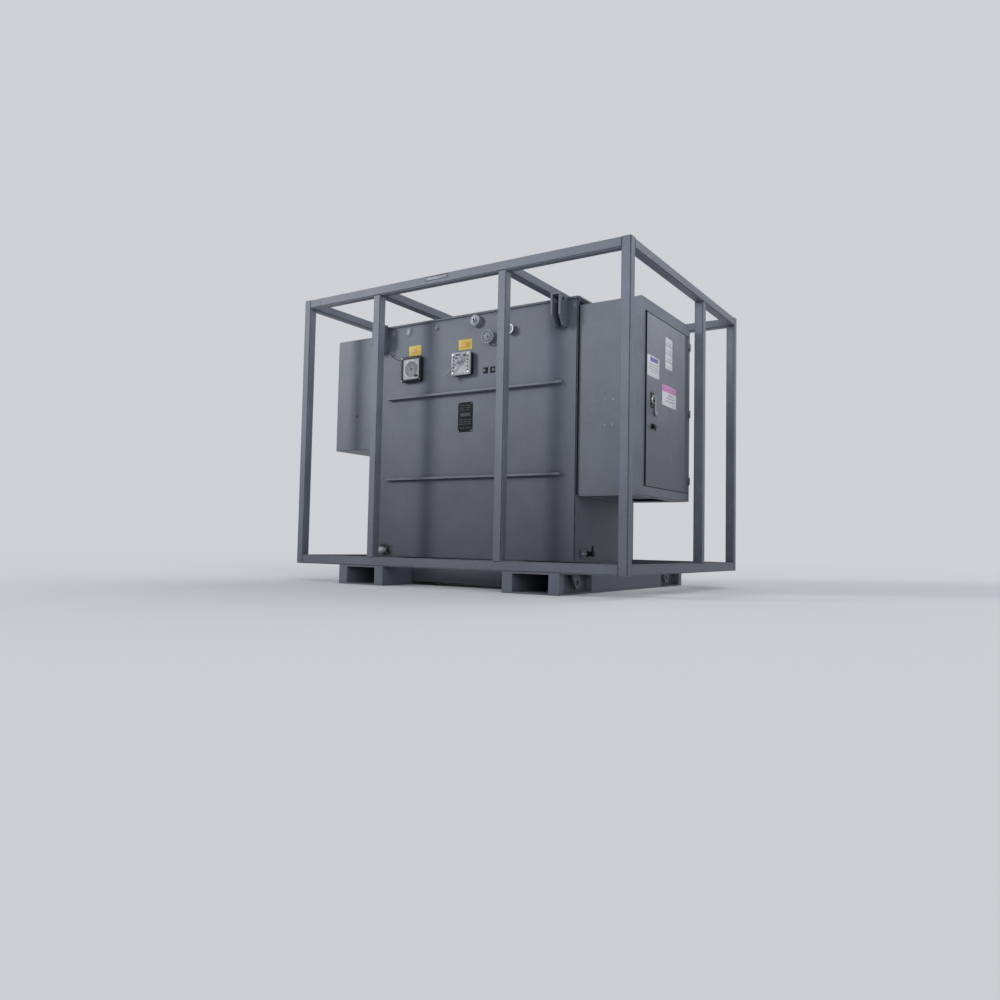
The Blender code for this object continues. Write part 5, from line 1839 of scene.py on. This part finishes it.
# %% [markdown]
# ## Hinges, seals and stiffeners of the door
#
# Three knuckles on the far edge carry the door: caps of the upper halves turn with it and
# caps of the lower halves stay. A rubber seal runs round the opening behind the door, so
# it shows only when the door is open, and a folded frame with two bars keeps the sheet
# stiff. Seal and folded frame are bands between two outlines, which one helper makes.

# %% Hinge caps and hinge screws
HINGE_Y = 0.1695
HINGE_X = 1.524
HINGE_TOP = door_high.z - 0.085
HINGE_BOTTOM = door_low.z + 0.097
HINGE_HEIGHTS = (HINGE_TOP, (HINGE_TOP + HINGE_BOTTOM) / 2, HINGE_BOTTOM)
HINGE_HALF = 0.030
CAP_PROFILE = ((0.0074, -0.001), (0.0074, 0.001), (0.0060, 0.003), (0.0, 0.0036))
HINGE_SCREW_Y = 0.1565
HINGE_SCREW_OUT = 0.003
HINGE_SCREW = (0.0034, 0.0018)
HINGE_SCREW_RISES = (0.008, 0.022)
upper = bmesh.new()
lower = bmesh.new()
hinge_screws = []
for z in HINGE_HEIGHTS:
    add_turned(upper, wall_frame((HINGE_X, HINGE_Y, z + HINGE_HALF), OUT_ABOVE, OUT_BACK), CAP_PROFILE, 20)
    add_turned(lower, wall_frame((HINGE_X, HINGE_Y, z - HINGE_HALF), OUT_BELOW, OUT_BACK), CAP_PROFILE, 20)
    for rise in HINGE_SCREW_RISES:
        hinge_screws.append(((DOOR_FACE + HINGE_SCREW_OUT, HINGE_SCREW_Y, z + rise), OUT_RIGHT))
keep_piece("hinge_caps_upper", upper, zinc, DOOR)
keep_piece("hinge_caps_lower", lower, zinc, FIXED)
add_fasteners("hinge_screws", hinge_screws, *HINGE_SCREW, zinc, DOOR, **ROUND_HEAD)
print("hinges:", len(HINGE_HEIGHTS))

# %% Stop, seal and edge trim round the opening
DOOR_GAP_AT_HINGE = 0.0035
SEAL_BACK = 1.4765
SEAL_FRONT = 1.4906
STOP_BAND = {"outside": -0.018, "inside": 0.016, "start": 0.0, "stop": 0.0102}
FACE_SEAL = {"outside": 0.006, "inside": 0.014, "start": 0.0100, "stop": SEAL_FRONT - SEAL_BACK - 0.0008}
EDGE_SEAL = {"outside": -0.0068, "inside": -0.0020, "start": 0.0102, "stop": 0.0370}
EDGE_TRIM_Y = (-0.752, -0.7405)
EDGE_TRIM_SINK = 0.001
EDGE_TRIM_OVER = 0.010
EDGE_TRIM_OUT = 0.010
door_edge_y = HINGE_Y - DOOR_GAP_AT_HINGE
door_middle = ((door_low.y + door_edge_y) / 2, (door_low.z + door_high.z) / 2)
door_size = (door_edge_y - door_low.y, door_high.z - door_low.z)
matrix = wall_frame((SEAL_BACK, *door_middle), OUT_RIGHT)

bm = bmesh.new()
add_band(bm, matrix, *door_size, **STOP_BAND)
keep_piece("door_stop", bm, cabinet_paint)
bm = bmesh.new()
add_band(bm, matrix, *door_size, **FACE_SEAL)
add_band(bm, matrix, *door_size, **EDGE_SEAL)
keep_piece("door_seal", bm, rubber)

bm = bmesh.new()
matrix = wall_frame((DOOR_FACE - EDGE_TRIM_SINK, sum(EDGE_TRIM_Y) / 2, door_middle[1]), OUT_RIGHT)
add_plate(bm, matrix, EDGE_TRIM_Y[1] - EDGE_TRIM_Y[0], door_size[1] + EDGE_TRIM_OVER, EDGE_TRIM_OUT, 0.003)
keep_piece("door_edge_trim", bm, rubber)
print("door", round(door_size[0], 3), "x", round(door_size[1], 3))

# %% Stiffeners on the back of the door
STIFFENER_BACK = 1.4790
STIFFENER_INSET = 0.034
STIFFENER_WIDTH = 0.030
STIFFENER_DEPTH = 0.0122
BAR_SHARES = (-0.17, 0.17)
BAR_WIDTH = 0.036
BAR_GAP = 0.058
bm = bmesh.new()
matrix = wall_frame((STIFFENER_BACK, *door_middle), OUT_RIGHT)
add_band(bm, matrix, *door_size, STIFFENER_INSET, STIFFENER_INSET + STIFFENER_WIDTH, 0.0, STIFFENER_DEPTH)
for share in BAR_SHARES:
    bar = wall_frame((STIFFENER_BACK, door_middle[0], door_middle[1] + share * door_size[1]), OUT_RIGHT)
    add_plate(bm, bar, door_size[0] - 2 * STIFFENER_INSET - BAR_GAP, BAR_WIDTH, STIFFENER_DEPTH)
keep_piece("door_stiffeners", bm, cabinet_paint, DOOR)
print("stiffener bars:", len(BAR_SHARES))

# %% [markdown]
# ## Labels on the door
#
# Two wide labels and a strip of four small ones are stuck on the door. They keep their
# size, their place and their colour fields, but hold only plain bars where print would
# be. A label could be a colour in the door's material, but as its own thin sheet it keeps
# its edge and its gloss, and it can be taken off.

# %% Sizes of the labels and of what is printed on them
LABEL_LIFT = 0.0007
LABEL_CORNER = 0.004
LABELS = {
    "left": {"y": (-0.713, -0.479), "z": (1.648, 1.807)},
    "strip": {"y": (-0.355, -0.207), "z": (1.762, 2.015)},
    "right": {"y": (-0.416, -0.119), "z": (1.469, 1.633)},
}
PRINT_SINK = 0.0001
HEADER_THICKNESS = 0.0003
BAR = {"thickness": 0.0002, "radius": 0.0005}
VIOLET = {"size_shares": (0.62, 0.22), "centre_shares": (0.05, 0.34)}
LEFT_BAR_SHARES = (0.80, 0.74, 0.78, 0.42)
LEFT_BAR_HEIGHT_SHARE = 0.035
LEFT_ROW_SHARES = (0.10, 0.12)
STRIP_CELLS = 4
CELL_SHARE = 0.92
CELL_CORNER = 0.003
CELL_BAR_SHARES = (0.55, 0.06)
CELL_BAR_DROP_SHARE = 0.18
PINK = {"size_shares": (1.0, 0.32), "centre_shares": (0.0, 0.34)}
RIGHT_BAR_SHARES = ((0.22, 0.09), (0.55, 0.05), (0.55, 0.05))
RIGHT_BAR_ASIDE_SHARE = 0.06
RIGHT_ROW_SHARES = (0.06, 0.15)
print("labels:", sorted(LABELS))

# %% Print on a label
def label_frame(name):
    """The frame, the width and the height of a label."""
    (left, right), (low, high) = LABELS[name]["y"], LABELS[name]["z"]
    return door_wall((left + right) / 2, (low + high) / 2), right - left, high - low


def add_print(bm, matrix, width, height, centre, thickness, radius):
    """A printed field, a hair proud of its label."""
    add_plate(bm, matrix, width, height, thickness, radius, centre, LABEL_LIFT - PRINT_SINK)


def add_header(bm, matrix, width, height, field, radius):
    """A colour field, sized and placed by shares of its label."""
    across, along = field["size_shares"]
    aside, above = field["centre_shares"]
    centre = (width * aside, height * above)
    add_print(bm, matrix, width * across, height * along, centre, HEADER_THICKNESS, radius)


print("labels: label_frame, add_print, add_header")

# %% Place the labels
white = bmesh.new()
violet = bmesh.new()
pink = bmesh.new()
bars = bmesh.new()

matrix, width, height = label_frame("left")
add_plate(white, matrix, width, height, LABEL_LIFT, LABEL_CORNER)
add_header(violet, matrix, width, height, VIOLET, 0.001)
first_row, row_step = LEFT_ROW_SHARES
for row, share in enumerate(LEFT_BAR_SHARES):
    level = height * (first_row - row_step * row)
    add_print(bars, matrix, width * share, height * LEFT_BAR_HEIGHT_SHARE, (0.0, level), **BAR)

matrix, width, height = label_frame("strip")
cell = height / STRIP_CELLS
for number in range(STRIP_CELLS):
    level = (number - (STRIP_CELLS - 1) / 2) * cell
    add_plate(white, matrix, width, cell * CELL_SHARE, LABEL_LIFT, CELL_CORNER, (0.0, level))
    across, along = CELL_BAR_SHARES
    add_print(bars, matrix, width * across, cell * along, (0.0, level - cell * CELL_BAR_DROP_SHARE), **BAR)

matrix, width, height = label_frame("right")
add_plate(white, matrix, width, height, LABEL_LIFT, LABEL_CORNER)
add_header(pink, matrix, width, height, PINK, 0.002)
first_row, row_step = RIGHT_ROW_SHARES
for row, (across, along) in enumerate(RIGHT_BAR_SHARES):
    centre = (width * RIGHT_BAR_ASIDE_SHARE, height * (first_row - row_step * row))
    add_print(bars, matrix, width * across, height * along, centre, **BAR)

keep_piece("door_labels", white, label_white, DOOR)
keep_piece("label_header_violet", violet, label_violet, DOOR)
keep_piece("label_header_pink", pink, label_pink, DOOR)
piece = keep_piece("label_bars", bars, print_grey, DOOR)
print(piece.name, "faces:", len(piece.data.polygons))

# %% Dark band along the hinge side of the door
HINGE_BAND_Y = (0.080, 0.152)
HINGE_BAND_SHORT = 0.004
HINGE_BAND_THICKNESS = 0.0012
band_width = HINGE_BAND_Y[1] - HINGE_BAND_Y[0]
band_height = door_size[1] - HINGE_BAND_SHORT
bm = bmesh.new()
matrix = door_wall(sum(HINGE_BAND_Y) / 2, door_middle[1])
add_plate(bm, matrix, band_width, band_height, HINGE_BAND_THICKNESS)
keep_piece("door_hinge_band", bm, skid_shade_paint, DOOR)
print("hinge band:", round(band_width, 3), "x", round(band_height, 3))

# %% [markdown]
# ## Cabinet fixings
#
# The cabinets are folded from sheet and bolted together. Their outside shows bolt heads
# on the front, black strips against the tank, a lip under the floor and, on the left
# cabinet, a bolted cover. The black strips are partly a seal and partly painted shade on
# the tank's end beside and above the cabinet. The heads come from the same fastener tree
# as before. The cover is a guess, kept low so that it stays inside the frame.

# %% Bolts on the cabinet fronts
CABINET_BOLT_X = (1.228, 1.292)
CABINET_BOLT_Z = (1.461, 1.271)
LEFT_BOLT_PLACE = (-1.268, 1.506)
CABINET_BOLT = (0.0075, 0.005)
LEFT_BOLT = (0.0085, 0.005)
WIDE_WASHER = 1.3
front_bolts = [((x, wrap_low.y, z), OUT_FRONT) for x in CABINET_BOLT_X for z in CABINET_BOLT_Z]
add_fasteners("cabinet_bolts", front_bolts, *CABINET_BOLT, cast_grey, washer=WIDE_WASHER)
left_bolts = [((LEFT_BOLT_PLACE[0], left_low.y, LEFT_BOLT_PLACE[1]), OUT_FRONT)]
add_fasteners("left_cabinet_bolts", left_bolts, *LEFT_BOLT, black_enamel, slot="black_housing",
              washer=WIDE_WASHER)
print("cabinet bolts:", len(front_bolts + left_bolts))

# %% Seal and painted shade against the tank, and the lip under the floor
SEAL_AND_SHADE_THICKNESS = 0.004
SIDE_SEAL_AND_SHADE_INSET = 0.008
TOP_SEAL_AND_SHADE_HEIGHT = 0.034
LIP_WIDTH = 0.028
LIP_GAP = 0.0003
LIP_THICKNESS = 0.003
# Black rubber strips on the tank's end in front of and above the cabinet: partly a seal, partly painted
# shade.
bm = bmesh.new()
side_seal_and_shade_y = (tank_low.y + SIDE_SEAL_AND_SHADE_INSET, wrap_low.y)
matrix = wall_frame((tank_high.x, sum(side_seal_and_shade_y) / 2, (wrap_low.z + wrap_high.z) / 2), OUT_RIGHT)
add_plate(bm, matrix, side_seal_and_shade_y[1] - side_seal_and_shade_y[0], wrap_high.z - wrap_low.z, SEAL_AND_SHADE_THICKNESS)
top_seal_and_shade_middle = (tank_high.x, (wrap_low.y + TANK_BACK) / 2, wrap_high.z + TOP_SEAL_AND_SHADE_HEIGHT / 2)
matrix = wall_frame(top_seal_and_shade_middle, OUT_RIGHT)
add_plate(bm, matrix, TANK_BACK - wrap_low.y, TOP_SEAL_AND_SHADE_HEIGHT, SEAL_AND_SHADE_THICKNESS)
keep_piece("cabinet_seal_and_shade", bm, rubber)

floor_low, floor_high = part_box("cabinet_floor")
floor_middle = (floor_low + floor_high) / 2
floor_size = floor_high - floor_low
matrix = wall_frame((floor_middle.x, floor_middle.y, floor_low.z), OUT_BELOW, OUT_BACK)
bm = bmesh.new()
add_band(bm, matrix, floor_size.x, floor_size.y, 0.0, LIP_WIDTH, LIP_GAP, LIP_THICKNESS)
keep_piece("cabinet_lip", bm, cast_grey)
print("lip round a floor of", round(floor_size.x, 3), "x", round(floor_size.y, 3))

# %% Cover on the left cabinet
COVER_SIZE = (0.760, 0.780)
COVER_THICKNESS = 0.0025
COVER_CORNER = 0.012
SCREW_EDGE_SHARE = 0.47
SCREW_SPAN_SHARE = 0.94
COVER_SCREW = (0.0060, 0.0036)
left_middle = (left_low + left_high) / 2
matrix = wall_frame((left_low.x, left_middle.y, left_middle.z), OUT_LEFT)
bm = bmesh.new()
add_plate(bm, matrix, *COVER_SIZE, COVER_THICKNESS, COVER_CORNER)
keep_piece("left_cabinet_cover", bm, cabinet_paint)

cover_width, cover_height = COVER_SIZE
spots = [(side * cover_width * SCREW_EDGE_SHARE, cover_height * (row / 4 - 0.5) * SCREW_SPAN_SHARE)
         for row in range(5) for side in (-1, 1)]
spots += [(cover_width * (column / 4 - 0.5) * SCREW_SPAN_SHARE, side * cover_height * SCREW_EDGE_SHARE)
          for column in (1, 2, 3) for side in (-1, 1)]
cover_screws = [(matrix @ Vector((x, y, COVER_THICKNESS)), OUT_LEFT) for x, y in spots]
add_fasteners("cover_screws", cover_screws, *COVER_SCREW, zinc)
print("cover screws:", len(cover_screws))
